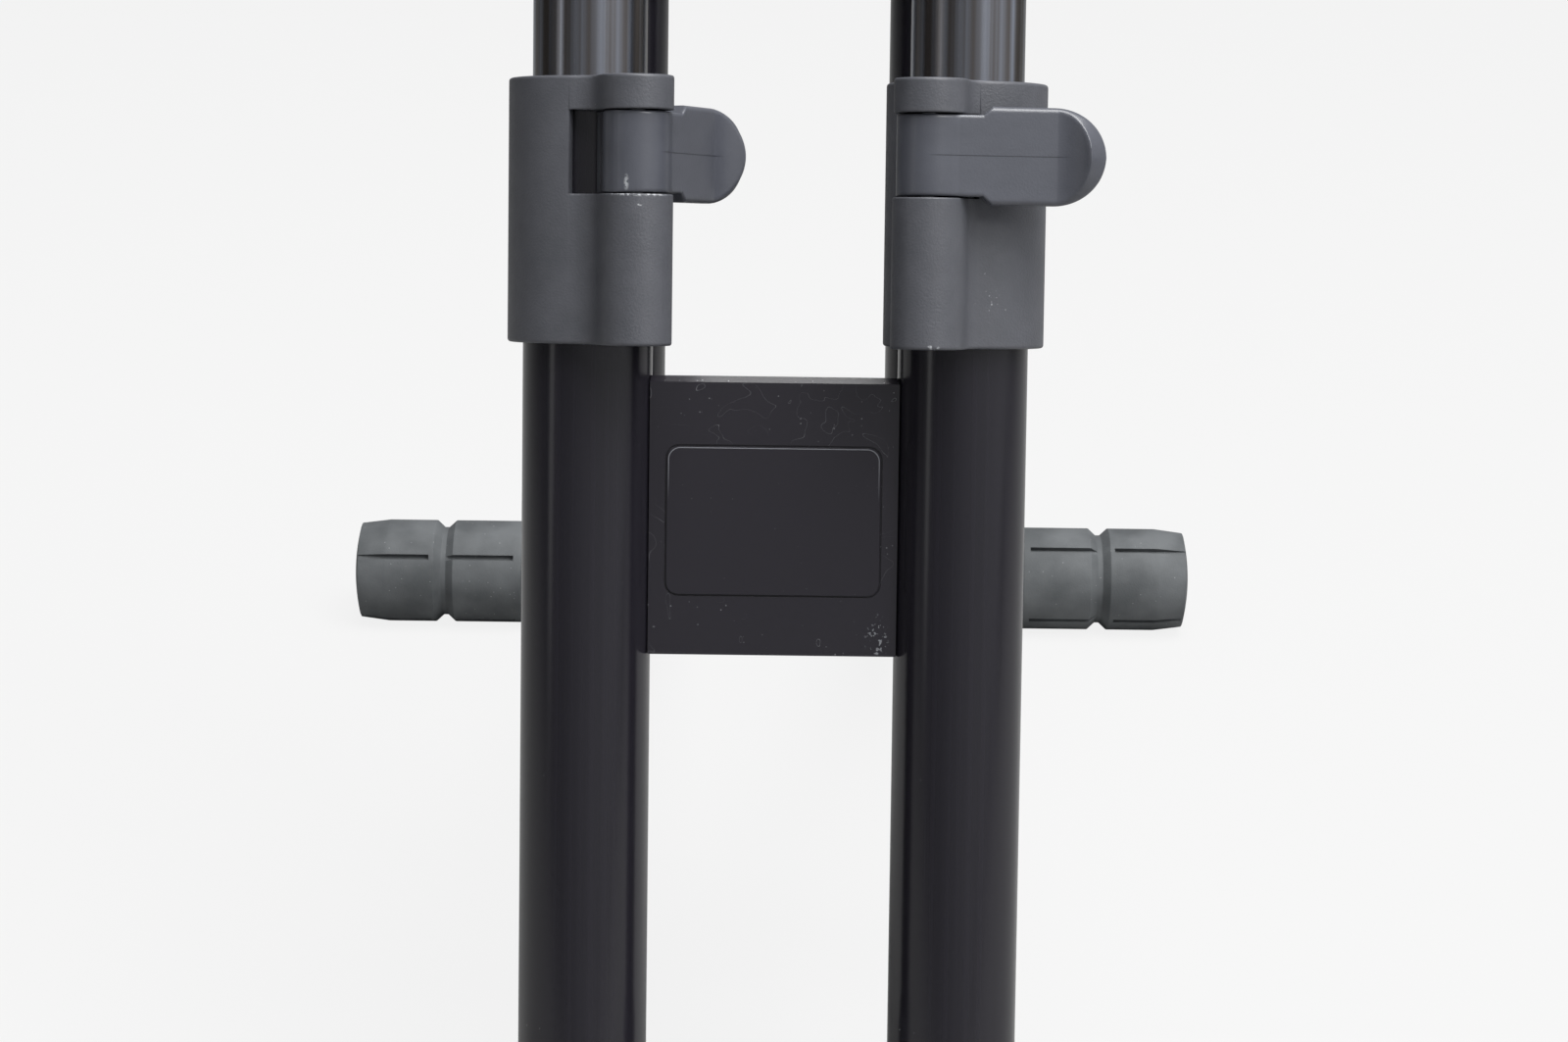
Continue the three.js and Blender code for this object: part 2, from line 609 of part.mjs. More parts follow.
function hingeKnob() {
  const body = rod(knobRadius, knobSeat - knobThickness, knobSeat, tubeSides);
  const pitchRadius = knobRadius + knobLobeDepth;
  const cut = [rod(boltRadius + seatGap, knobSeat - knobThickness + knobCrown, knobSeat + cutOverrun)];
  for (let i = 0; i < knobLobes; i += 1) {
    const turn = 2 * Math.PI * i / knobLobes;
    const scallop = rod(2 * knobLobeDepth, knobSeat - knobThickness - cutOverrun,
      knobSeat - knobLobeDepth, smallSides);
    cut.push(scallop.translate(pitchRadius * Math.cos(turn), pitchRadius * Math.sin(turn), 0));
  }
  return worked(body, { cut });
}

for (const [side, sign] of sides) {
  const bolt = hingeBolt().rotateY(sign * Math.PI / 2).translate(0, hingeSetback, hingeRise);
  const knob = hingeKnob().rotateY(sign * Math.PI / 2).translate(0, hingeSetback, hingeRise);
  leaning.add(piece(`${side}_hinge_bolt`, bolt, zincSteel), piece(`${side}_hinge_knob`, knob, satinPlastic));
}

function footBar() {
  const half = footWidth / 2 - capEndWall - seatGap;
  return pipe(barRadius, barRadius - barWall, -half, half).rotateY(Math.PI / 2);
}

// A rubber cap with its bore's mouth at Z = 0 and a rounded outer end, for the bar's end.
function footCap() {
  const bore = barRadius + seatGap;
  const grooveMiddle = capLength - capGrooveReach;
  const grooveStart = grooveMiddle - capGrooveWidth / 2;
  const grooveEnd = grooveMiddle + capGrooveWidth / 2;
  const corner = capLength - capCrown;
  const crown = capCrownShares.map((share) => (
    [share * (capRadius - capTaperDrop), corner + capCrown * (1 - share * share)]));
  const cap = turned([
    [0, capLength - capEndWall], [bore, capLength - capEndWall], [bore, 0],
    [capRadius - capChamfer, 0], [capRadius, capChamfer], [capRadius, grooveStart],
    [capRadius - capGrooveDepth, grooveMiddle - capGrooveFloor / 2],
    [capRadius - capGrooveDepth, grooveMiddle + capGrooveFloor / 2],
    [capRadius, grooveEnd], [capRadius, corner - capTaper], ...crown,
  ], tubeSides);
  const slotHalf = capSlotWidth / 2;
  const slots = [];
  const runs = [[capSlotMargin, grooveMiddle], [grooveEnd + capSlotMargin / 2, corner + cutOverrun]];
  for (let i = 0; i < capSlots; i += 1) {
    for (const [from, to] of runs) {
      const floor = capRadius - capTaperDrop - capSlotDepth;
      const slot = slab([-slotHalf, slotHalf], [floor, capRadius + cutOverrun], [from, to]);
      slots.push(slot.rotateZ(2 * Math.PI * i / capSlots));
    }
  }
  return { cap, slots };
}

// Both caps of a foot, level, with a flat sole ground under each.
function addFoot(end, position) {
  const foot = new THREE.Group();
  foot.position.copy(position);
  foot.add(piece(`${end}_foot_bar`, footBar(), glossPaint));
  for (const [side, sign] of sides) {
    const { cap, slots } = footCap();
    const firstSlot = sign * THREE.MathUtils.degToRad(capSlotAngle);
    const inner = footWidth / 2 - capLength;
    const place = (geometry) => geometry.rotateZ(firstSlot).rotateY(sign * Math.PI / 2)
      .translate(sign * inner, 0, 0);
    const below = -capRadius - cutOverrun;
    const ground = slab([-footWidth, footWidth], [below, -below], [below, soleDepth - capRadius]);
    const geometry = worked(place(cap), { cut: [...slots.map(place), ground] });
    foot.add(piece(`${side}_${end}_cap`, geometry, capRubber));
  }
  stand.add(foot);
}

const rearFootY = hingeY + legLength * Math.cos(legPitch);
addFoot('front', new THREE.Vector3(0, 0, footHeight));
addFoot('rear', new THREE.Vector3(0, rearFootY, footHeight));

// Front tees, in line with the leaning tubes
for (const [side, sign] of sides) {
  const x = sign * span;
  leaning.add(piece(`${side}_front_tee`, tee(outerRadius).translate(x, 0, 0), satinPlastic));
  const fixing = teeScrew(outerRadius, outerWall).translate(x, 0, 0);
  leaning.add(piece(`${side}_front_tee_screw`, fixing, zincSteel));
}

// Rear leg, with Y along it from the hinge to the foot
const toFoot = (geometry, x) => geometry.rotateX(Math.PI / 2).translate(x, legLength, 0);
for (const [side, sign] of sides) {
  const x = sign * span;
  rearLeg.add(piece(`${side}_rear_tee`, toFoot(tee(legRadius), x), satinPlastic));
  rearLeg.add(piece(`${side}_rear_tee_screw`, toFoot(teeScrew(legRadius, legWall), x), zincSteel));
  const tube = pipe(legRadius, legRadius - legWall, legSetback, legLength - socketFloor - seatGap)
    .rotateX(-Math.PI / 2).translate(x, 0, 0);
  const drilled = worked(tube, { cut: [toFoot(teeScrewHole(legRadius), x)] });
  rearLeg.add(piece(`${side}_rear_leg`, drilled, glossPaint));

  const spigot = legRadius - legWall - seatGap;
  const barrel = rod(legRadius, -legRadius, legRadius).rotateY(Math.PI / 2);
  const shoulder = rod(legRadius, 0, legSetback - seatGap).rotateX(-Math.PI / 2);
  const stub = rod(spigot, 0, legSetback + knuckleSpigot).rotateX(-Math.PI / 2);
  const hole = rod(boltRadius + seatGap, -span, span).rotateY(Math.PI / 2);
  const knuckle = worked(barrel, { joined: [shoulder, stub], cut: [hole] }).translate(x, 0, 0);
  rearLeg.add(piece(`${side}_leg_knuckle`, knuckle, satinPlastic));
}

// The origin is on the floor, in the middle of the stand's box.
stand.updateMatrixWorld(true);
const box = new THREE.Box3().setFromObject(stand, true);
stand.position.set(-(box.min.x + box.max.x) / 2, -(box.min.y + box.max.y) / 2, -box.min.z);

export default stand;
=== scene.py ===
import json
import math

import bmesh
import bpy
import numpy as np
from mathutils import Matrix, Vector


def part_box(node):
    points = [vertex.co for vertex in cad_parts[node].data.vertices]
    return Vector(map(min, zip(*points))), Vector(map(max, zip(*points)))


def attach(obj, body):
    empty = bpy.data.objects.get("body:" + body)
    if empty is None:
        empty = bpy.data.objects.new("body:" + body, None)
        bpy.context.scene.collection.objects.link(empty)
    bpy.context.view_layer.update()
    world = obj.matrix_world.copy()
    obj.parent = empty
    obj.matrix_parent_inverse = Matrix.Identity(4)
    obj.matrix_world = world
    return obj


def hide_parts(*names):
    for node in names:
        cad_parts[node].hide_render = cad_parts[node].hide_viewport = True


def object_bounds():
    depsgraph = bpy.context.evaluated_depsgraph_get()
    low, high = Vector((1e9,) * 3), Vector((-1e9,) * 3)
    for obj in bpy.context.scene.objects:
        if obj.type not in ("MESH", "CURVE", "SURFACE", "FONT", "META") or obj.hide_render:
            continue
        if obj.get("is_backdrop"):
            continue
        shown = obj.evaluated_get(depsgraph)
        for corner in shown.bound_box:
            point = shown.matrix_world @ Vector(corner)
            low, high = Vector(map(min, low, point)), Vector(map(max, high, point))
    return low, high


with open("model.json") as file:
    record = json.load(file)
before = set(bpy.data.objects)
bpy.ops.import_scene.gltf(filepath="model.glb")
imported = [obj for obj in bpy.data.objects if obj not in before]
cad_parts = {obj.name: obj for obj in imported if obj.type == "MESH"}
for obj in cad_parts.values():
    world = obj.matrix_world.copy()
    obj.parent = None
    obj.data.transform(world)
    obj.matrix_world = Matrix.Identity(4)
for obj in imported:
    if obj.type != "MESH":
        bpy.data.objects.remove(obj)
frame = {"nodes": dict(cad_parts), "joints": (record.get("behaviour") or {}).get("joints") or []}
cad_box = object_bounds()
millimetre = 0.001

# Camera
# A 75 mm lens on a 36 mm wide frame looks down on the clamps from three quarters of a metre away.
# It was held a little out of level, so the upright tubes lean slightly to the left on their way down.
camera_place = (-0.0003, -0.7497, 0.3636)
camera_pitch = math.radians(19.61)
camera_yaw = math.radians(0.23)
camera_roll = math.radians(0.816)


def put_in_scene(name, data):
    """A new object for a camera, a lamp or a mesh, linked to the scene."""
    made = bpy.data.objects.new(name, data)
    bpy.context.scene.collection.objects.link(made)
    return made


def stand_at(thing, x_way, y_way, z_way, place):
    """Puts a camera or a lamp at a place, with its own axes along three directions as its matrix's columns."""
    columns = np.eye(4)
    columns[:3] = np.stack([x_way, y_way, z_way, place], 1)
    thing.matrix_world = Matrix(columns.tolist())


lens = bpy.data.cameras.new("long_lens")
lens.sensor_width = 36
lens.lens = 75
lens.clip_start = 0.01
lens.clip_end = 50
camera = put_in_scene("camera", lens)
bpy.context.scene.camera = camera
ahead = np.array([
    math.sin(camera_yaw) * math.cos(camera_pitch),
    math.cos(camera_yaw) * math.cos(camera_pitch),
    -math.sin(camera_pitch),
])
level_right = np.cross(ahead, (0, 0, 1))
level_right /= np.linalg.norm(level_right)
level_up = np.cross(level_right, ahead)
right = math.cos(camera_roll) * level_right + math.sin(camera_roll) * level_up
upward = math.cos(camera_roll) * level_up - math.sin(camera_roll) * level_right
stand_at(camera, right, upward, -ahead, camera_place)

# Studio
# Matt pale paper under the stand and a pale room round it, dim on the left and brighter on the right. The paper has
# a share of plain light of its own for the camera, so that it is evenly pale and still takes the stand's shadow. Soft
# boxes hang overhead and stand high in front at the right, and a narrow one at the left draws streaks.
paper_colour = "a2a2a1"
paper_reach = 9.0
paper_glow_share = 0.87
mottle_width = 45 * millimetre
room_strength = {"left": 0.07, "right": 0.6}

bpy.context.scene.view_settings.view_transform = "Standard"


def linear(sheet_hex):
    """An sRGB hex colour as linear RGBA: under 0.04045 a straight line, above it a 2.4 power."""
    parts = np.array([int(sheet_hex[i:i + 2], 16) / 255 for i in (0, 2, 4)])
    scaled = np.where(parts <= 0.04045, parts / 12.92, ((parts + 0.055) / 1.055) ** 2.4)
    return (*scaled.tolist(), 1.0)


def add(tree, kind, sockets=None, **settings):
    """Adds a shader node. Settings are its own properties. A socket gets a value or a link, and a node that is given
    as the value stands for its first output in use."""
    made = tree.nodes.new("ShaderNode" + kind)
    for key, value in settings.items():
        setattr(made, key, value)
    for key, value in (sockets or {}).items():
        if isinstance(value, bpy.types.Node):
            value = next(output for output in value.outputs if output.enabled)
        if isinstance(value, bpy.types.NodeSocket):
            tree.links.new(value, made.inputs[key])
        else:
            made.inputs[key].default_value = value
    return made


def new_finish(name):
    """A new material and its node tree, emptied."""
    material = bpy.data.materials.new(name)
    material.use_nodes = True
    material.node_tree.nodes.clear()
    return material, material.node_tree


paper, tree = new_finish("matt_white_paper")
mottle = add(tree, "TexNoise", {"Scale": 2 * paper_reach / mottle_width, "Detail": 2.0})
tone = add(tree, "Mix", {0: mottle, 6: linear("9e9e9d"), 7: linear(paper_colour)}, data_type="RGBA")
sheet = add(tree, "BsdfDiffuse", {"Color": tone})
seen = add(tree, "LightPath")
glow_share = add(tree, "Math", {0: seen.outputs["Is Camera Ray"], 1: paper_glow_share}, operation="MULTIPLY")
glow = add(tree, "Emission", {"Color": linear("fdfdfd"), "Strength": 1.0})
lit_sheet = add(tree, "MixShader", {0: glow_share, 1: sheet, 2: glow})
add(tree, "OutputMaterial", {"Surface": lit_sheet})

floor_mesh = bpy.data.meshes.new("paper_floor")
floor_mesh.from_pydata([(x * paper_reach, y * paper_reach, 0) for x, y in ((-1, -1), (1, -1), (1, 1), (-1, 1))], [],
                       [(0, 1, 2, 3)])
floor_mesh.materials.append(paper)
floor = put_in_scene("paper_floor", floor_mesh)
floor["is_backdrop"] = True

room = bpy.data.worlds.new("white_room")
room.use_nodes = True
tree = room.node_tree
tree.nodes.clear()
seen = add(tree, "LightPath")
direct = add(tree, "Math", {0: seen.outputs["Is Camera Ray"], 1: seen.outputs["Is Transmission Ray"]},
             operation="MAXIMUM")
heading = add(tree, "SeparateXYZ", {0: add(tree, "TexCoord").outputs["Generated"]})
level = add(tree, "MapRange", {"Value": heading.outputs["X"], "From Min": -1.0, "From Max": 1.0,
                               "To Min": room_strength["left"], "To Max": room_strength["right"]})
lit = add(tree, "Background", {"Color": linear("fbfcff"), "Strength": level})
shown = add(tree, "Background", {"Color": linear("f7f7f7"), "Strength": 1.0})
either = add(tree, "MixShader", {0: direct, 1: lit, 2: shown})
add(tree, "OutputWorld", {"Surface": either})
bpy.context.scene.world = room


def soft_box(name, place, aim, width, height, watts):
    """A rectangular lamp at a place, with its face square to the line from there to the aim."""
    lamp = bpy.data.lights.new(name, "AREA")
    lamp.shape = "RECTANGLE"
    lamp.size, lamp.size_y, lamp.energy = width, height, watts
    away = np.array(place, float) - np.array(aim, float)
    away /= np.linalg.norm(away)
    across = np.cross((0, 1, 0) if abs(away[2]) > 0.9 else (0, 0, 1), away)
    across /= np.linalg.norm(across)
    stand_at(put_in_scene(name, lamp), across, np.cross(away, across), away, place)


stand_middle = (0, -0.14, 0.17)
soft_box("overhead_box", (0.35, -0.35, 1.9), stand_middle, 1.2, 1.2, 45)
soft_box("left_box", (-1.5, -0.9, 0.8), stand_middle, 0.25, 1.4, 1.0)
soft_box("right_box", (1.05, -1.1, 1.6), stand_middle, 0.8, 1.1, 19)

# The leaning frame
# Every upright piece is placed in a frame that stands on the front foot's axis and leans back with the tubes.
# Its X is to the right, its Y straight back through the plate and its Z up the tubes.
joints = {joint["name"]: joint for joint in frame["joints"]}
along_tubes = np.array(joints["left_hoop_height"]["axis"], float)
along_tubes /= np.linalg.norm(along_tubes)
across_stand = np.array([1.0, 0.0, 0.0])
through_plate = np.cross(along_tubes, across_stand)


def middle_of(node):
    """The middle of a solid's box: half the sum of its corners."""
    low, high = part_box(node)
    return (np.array(low) + np.array(high)) / 2


front_foot = middle_of("front_foot_bar")
rear_foot = middle_of("rear_foot_bar")


def in_lean(points):
    """Places points in millimetres of the leaning frame into the world in metres."""
    points = np.asarray(points, float) * millimetre
    return (front_foot + points[..., 0:1] * across_stand + points[..., 1:2] * through_plate
            + points[..., 2:3] * along_tubes)


# Black gloss paint on steel tube
# Enamel baked over drawn tube is smooth but never flat: faint lines run along the drawing direction under it,
# and the film has a slight orange peel about 2 mm wide. Dry dust sits on it as sparse pale specks.
def own_place(tree, stretch=(1, 1, 1)):
    """The piece's own coordinates in metres, divided by the stretch on each axis."""
    place = add(tree, "Attribute", attribute_name="own_place")
    return add(tree, "Mapping", {"Vector": place.outputs["Vector"], "Scale": stretch}, vector_type="TEXTURE")


def clouded(tree, width, detail, roughness, dark, light, stretch=(1, 1, 1)):
    """Two tones of a finish, mixed by noise of a width in metres."""
    cloud = add(tree, "TexNoise", {
        "Vector": own_place(tree, stretch), "Scale": 1 / width, "Detail": detail, "Roughness": roughness})
    return add(tree, "Mix", {0: cloud, 6: linear(dark), 7: linear(light)}, data_type="RGBA")


def sparse_specks(tree, place, spacing, rim, core, rare, most=1.0):
    """Round specks of a mean spacing. Each grows from nothing at its rim to the most at its core, both in shares of
    the spacing from its middle, and only the cells whose own random number passes the rare level have one."""
    cells = add(tree, "TexVoronoi", {"Vector": place, "Scale": 1 / spacing})
    round_speck = add(tree, "MapRange", {"Value": cells, "From Min": rim, "From Max": core, "To Max": most})
    chosen = add(tree, "MapRange", {"Value": cells.outputs["Color"], "From Min": rare, "From Max": rare + 0.02})
    return add(tree, "Math", {0: round_speck, 1: chosen}, operation="MULTIPLY")


def finish_off(tree, sockets, grain=None):
    """Ends a finish with its shader and output. A grain is a width in metres, a detail, a strength and a depth in
    metres, and makes the surface rise and fall with noise of that width."""
    if grain:
        width, detail, strength, depth = grain
        noise = add(tree, "TexNoise", {"Vector": own_place(tree), "Scale": 1 / width, "Detail": detail})
        sockets["Normal"] = add(tree, "Bump", {"Height": noise, "Strength": strength, "Distance": depth})
    add(tree, "OutputMaterial", {"Surface": add(tree, "BsdfPrincipled", sockets)})


peel_width = 2 * millimetre
draw_line_width = 0.7 * millimetre
draw_line_length = 200 * millimetre
speck_spacing = 3.2 * millimetre

tube_paint, tree = new_finish("black_baked_enamel")
lines = add(tree, "TexNoise", {
    "Vector": own_place(tree, (1, 1, draw_line_length / draw_line_width)),
    "Scale": 1 / draw_line_width / 2, "Detail": 3.0})
tint = add(tree, "Mix", {0: lines, 6: linear("18171c"), 7: linear("232128")}, data_type="RGBA")
dust = sparse_specks(tree, own_place(tree), speck_spacing, 0.045, 0.03, 0.72)
dusty = add(tree, "Mix", {0: dust, 6: tint, 7: linear("8c8d90")}, data_type="RGBA")
slick = add(tree, "MapRange", {"Value": lines, "To Min": 0.13, "To Max": 0.24})
finish_off(tree, {"Base Color": dusty, "Roughness": slick, "IOR": 1.5}, (peel_width, 1.0, 0.05, 0.2 * millimetre))

# Fixed tubes
# Four 25.4 mm steel tubes with a 1.2 mm wall, the front pair from the front tees up into the clamp collars
# and the rear pair through the bracket's rings, cut square with their edges broken.
tube_radius, tube_wall, tube_edge = 12.7, 1.2, 0.3
half_spacing, hoop_depth = 36.7, 73.4
front_tube_foot, front_tube_top = 16.3, 220.7
rear_tube_foot, rear_tube_top = 109.0, 257.0
round_steps = 96
merge_distance, crease_angle = 1e-7, 38
sides = (("left", -1), ("right", 1))


def rounded(corners, radii, steps=5):
    """A closed outline with each corner replaced by a quadratic curve that leaves both of its sides at the same
    distance from the corner, which is the radius over the tangent of half the corner's angle."""
    corners = np.asarray(corners, float)
    radii = np.broadcast_to(np.asarray(radii, float), corners.shape[:-1])
    before = np.roll(corners, 1, -2) - corners
    after = np.roll(corners, -1, -2) - corners
    reach_before = np.maximum(np.linalg.norm(before, axis=-1), 1e-9)
    reach_after = np.maximum(np.linalg.norm(after, axis=-1), 1e-9)
    before = before / reach_before[..., None]
    after = after / reach_after[..., None]
    cosine = np.clip((before * after).sum(-1), -0.999999, 0.999999)
    tangent = np.sqrt((1 - cosine) / (1 + cosine))
    back_off = np.minimum(radii / np.maximum(tangent, 1e-6), 0.49 * np.minimum(reach_before, reach_after))
    back_off = np.where(cosine < -0.9999, 0, back_off)[..., None, None]
    share = np.linspace(0, 1, steps)[:, None]
    corner = corners[..., None, :]
    start = corner + back_off * before[..., None, :]
    end = corner + back_off * after[..., None, :]
    curve = (1 - share) ** 2 * start + 2 * share * (1 - share) * corner + share ** 2 * end
    return curve.reshape(*corners.shape[:-2], -1, 2)


def turned(outline, steps=round_steps):
    """A closed outline of (radius, height) carried round Z, with x the radius times the turn's sine, and y minus the
    radius times its cosine."""
    outline = np.asarray(outline, float)
    turn = np.linspace(0, 2 * np.pi, steps, endpoint=False)[:, None]
    radius, height = outline[None, :, 0], outline[None, :, 1]
    return np.stack([radius * np.sin(turn), -radius * np.cos(turn), height + 0 * turn], -1)


def pipe_outline(outside, inside, bottom, top, edge):
    """The wall of a pipe as a closed outline of (radius, height), with every edge rounded alike."""
    return rounded([(inside, bottom), (outside, bottom), (outside, top), (inside, top)], edge)


def keep_own_place(mesh, own):
    """Keeps each vertex's own place in metres with the mesh, for the patterns of its finish."""
    note = mesh.attributes.new("own_place", "FLOAT_VECTOR", "POINT")
    note.data.foreach_set("vector", own.astype(np.float32).ravel())


def make_piece(name, shells, place, material, body, nodes):
    """A piece from closed shells. A shell is a grid of points in millimetres and a flag: its columns close on
    themselves, and its rows either do too or end in one flat face each. A shell that is inside out is turned."""
    own, faces, count = [], [], 0
    for grid, rows_close in shells:
        rows, columns = grid.shape[:2]
        index = np.arange(rows * columns).reshape(rows, columns)
        lower, upper = (index, np.roll(index, -1, 0)) if rows_close else (index[:-1], index[1:])
        quads = np.stack([lower, np.roll(lower, -1, 1), np.roll(upper, -1, 1), upper], -1).reshape(-1, 4)
        points = grid.reshape(-1, 3)
        centre = points.mean(0)
        a, b, c, d = (points[quads[:, k]] - centre for k in range(4))
        volume = (np.cross(a, b) * c).sum() + (np.cross(a, c) * d).sum()
        ends = []
        if not rows_close:
            for end, forward in ((index[0], False), (index[-1], True)):
                ring = points[end] - centre
                fan = (np.cross(ring[1:-1], ring[2:]) * ring[0]).sum()
                volume += fan if forward else -fan
                ends.append(end if forward else end[::-1])
        if volume < 0:
            quads = quads[:, ::-1]
            ends = [end[::-1] for end in ends]
        faces += (quads + count).tolist() + [(end + count).tolist() for end in ends]
        own.append(points)
        count += len(points)
    own = np.concatenate(own)
    mesh = bpy.data.meshes.new(name)
    mesh.from_pydata(place(own).tolist(), [], faces)
    keep_own_place(mesh, own * millimetre)
    dress(name, mesh, material, body, nodes)


def dress(name, mesh, material, body, nodes):
    """Merges the mesh's doubles, smooths it up to the crease angle, and puts it on its body in place of its solids."""
    work = bmesh.new()
    work.from_mesh(mesh)
    bmesh.ops.remove_doubles(work, verts=work.verts, dist=merge_distance)
    bmesh.ops.dissolve_degenerate(work, dist=merge_distance, edges=work.edges)
    work.to_mesh(mesh)
    work.free()
    mesh.shade_smooth()
    mesh.set_sharp_from_angle(angle=math.radians(crease_angle))
    mesh.materials.append(material)
    made = put_in_scene(name, mesh)
    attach(made, body)
    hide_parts(*nodes)
    even = made.modifiers.new("even_shading", "WEIGHTED_NORMAL")
    even.keep_sharp = True
    return made


def upright(sign, depth=0.0):
    """Stands points made on Z on a side's tube axis, a depth behind the front pair."""
    return lambda points: in_lean(points + (sign * half_spacing, depth, 0))


for side, sign in sides:
    for end, y, bottom, top in (("front", 0.0, front_tube_foot, front_tube_top),
                                ("rear", hoop_depth, rear_tube_foot, rear_tube_top)):
        wall = turned(pipe_outline(tube_radius, tube_radius - tube_wall, bottom, top, tube_edge))
        make_piece(f"{side}_{end}_enamelled_tube", [(wall, True)],
                   upright(sign, y), tube_paint, "base", [f"{side}_{end}_tube"])

# Hoops
# One bent 22.2 mm tube on each side slides in the fixed tubes. It is plated dark over a polished surface,
# and the room's hard streaks along its length, some bluish and some brown, are painted reflections in the metal's
# colour.
hoop_radius, hoop_wall, bend_height = 11.1, 1.5, 294.0
front_leg_end, rear_leg_end = 139.0, 159.0
front_leg, bend_radius, bend_steps = bend_height - front_leg_end, hoop_depth / 2, 96
streak_width, streak_stretch, fine_stretch = 2.2 * millimetre, 400, 300
hoop_finish, tree = new_finish("dark_plating_with_painted_reflections")
# Painted reflections: bluish and brown streaks along the hoop, put into the metal's colour.
painted_reflection_streaks = add(tree, "TexNoise", {
    "Vector": own_place(tree, (1, 1, streak_stretch)), "Scale": 1 / streak_width, "Detail": 2.0, "Roughness": 0.6})
fine = add(tree, "TexNoise", {
    "Vector": own_place(tree, (1, 1, fine_stretch)), "Scale": 1 / draw_line_width, "Detail": 2.0})
painted_reflection_share = add(tree, "MapRange", {"Value": painted_reflection_streaks, "From Min": 0.35, "From Max": 0.65})
painted_reflection_tone = add(tree, "Mix", {0: painted_reflection_share, 6: linear("6a6460"), 7: linear("a2a7b2")}, data_type="RGBA")
shine = add(tree, "MapRange", {"Value": fine, "To Min": 0.15, "To Max": 0.32})
finish_off(tree, {"Base Color": painted_reflection_tone, "Roughness": shine, "Metallic": 1.0})


def hoop_line(distance):
    """Place and outward direction at a distance along the hoop: up the front leg, over a half circle of half the
    hoop's depth, and down the rear leg."""
    turn = np.clip((distance - front_leg) / bend_radius, 0, np.pi)
    rise = np.minimum(distance - front_leg, 0)
    fall = np.maximum(distance - front_leg - np.pi * bend_radius, 0)
    y = bend_radius * (1 - np.cos(turn))
    z = bend_height + bend_radius * np.sin(turn) + rise - fall
    return np.stack([0 * y, y, z], -1), np.stack([0 * y, -np.cos(turn), np.sin(turn)], -1)


def carried(distance, radius, steps=64):
    """A circle carried along the hoop's line, with a radius given at each distance."""
    middle, out = hoop_line(np.asarray(distance, float))
    turn = np.linspace(0, 2 * np.pi, steps, endpoint=False)
    radius = np.broadcast_to(radius, distance.shape)[:, None, None]
    ring = np.sin(turn)[None, :, None] * across_stand + np.cos(turn)[None, :, None] * out[:, None, :]
    return middle[:, None, :] + radius * ring


bend_length = np.pi * hoop_depth / 2
whole = front_leg + bend_length + bend_height - rear_leg_end
stations = np.concatenate([[0], front_leg + np.linspace(0, bend_length, bend_steps), [whole]])
out_and_back = np.concatenate([stations, stations[::-1]])
walls = np.repeat([hoop_radius, hoop_radius - hoop_wall], len(stations))
for side, sign in sides:
    make_piece(f"{side}_plated_hoop", [(carried(out_and_back, walls), True)], upright(sign), hoop_finish,
               f"{side}_hoop", [f"{side}_hoop"])

# Rubber sleeves on the hoops' bends
# The crank arm rests against them, so they are soft: extruded rubber tube, pushed on, with a fine matt skin
# and ends cut square with the edge worn round.
sleeve_wall, sleeve_gap, sleeve_edge = 3.0, 0.3, 1.0
bare_bend = 15 / 180
skin_grain, worn_width = 0.6 * millimetre, 16.667 * millimetre
sleeve_rubber, tree = new_finish("black_extruded_rubber")
worn = clouded(tree, worn_width, 3.0, 0.5, "1f2123", "2c2e31")
finish_off(tree, {"Base Color": worn, "Roughness": 0.78, "IOR": 1.52}, (skin_grain, 3.0, 0.35, 0.2 * millimetre))

sleeve_bore = hoop_radius + sleeve_gap
sleeve_start = front_leg + bare_bend * bend_length
sleeve_end = front_leg + (1 - bare_bend) * bend_length
edge_turn = np.linspace(0, np.pi / 2, 7)
edge_along, edge_drop = sleeve_edge * (1 - np.cos(edge_turn)), sleeve_edge * (1 - np.sin(edge_turn))
sleeve_line = np.concatenate([sleeve_start + edge_along,
                              np.linspace(sleeve_start + sleeve_edge, sleeve_end - sleeve_edge, bend_steps)[1:-1],
                              sleeve_end - edge_along[::-1], np.linspace(sleeve_end, sleeve_start, bend_steps)])
sleeve_walls = np.concatenate([sleeve_bore + sleeve_wall - edge_drop,
                               np.full(bend_steps - 2, sleeve_bore + sleeve_wall),
                               sleeve_bore + sleeve_wall - edge_drop[::-1], np.full(bend_steps, sleeve_bore)])
for side, sign in sides:
    make_piece(f"{side}_rubber_sleeve", [(carried(sleeve_line, sleeve_walls), True)], upright(sign), sleeve_rubber,
               f"{side}_hoop", [f"{side}_hoop_sleeve"])

# Clamp collars
# Each is one moulding of glass-filled nylon round the mouth of a front tube, with a lobe for the lever's pin and
# a window through which the lever's barrel presses on the tube. Fine spark-eroded grain makes it evenly satin, and
# flecks of chalky dust, a line of flash and chips show on it.
collar_bottom, collar_top = 172.5, 223.5
window_bottom, window_top = 201.1, 217.0
collar_bore, collar_radius, collar_lip = 13.0, 15.7, 2.5
mouth_radius = hoop_radius + sleeve_gap
pin_offset, lobe_radius, valley_blend = 21.1, 6.9, 6.0
window_from, window_to = -39.5, 28.0
collar_edge, window_edge, window_run_in, seam_lap, wall_inset = 0.7, 0.35, 1.5, 0.05, 0.004
pin_angles = {"left": 28.5, "right": -22.5}
lever_turns = {"left": 54.7, "right": 0.0}
eroded_grain, cloud_width = 0.45 * millimetre, 8.333 * millimetre
fleck_spacing, crumb_width = 1.6 * millimetre, 0.7 * millimetre

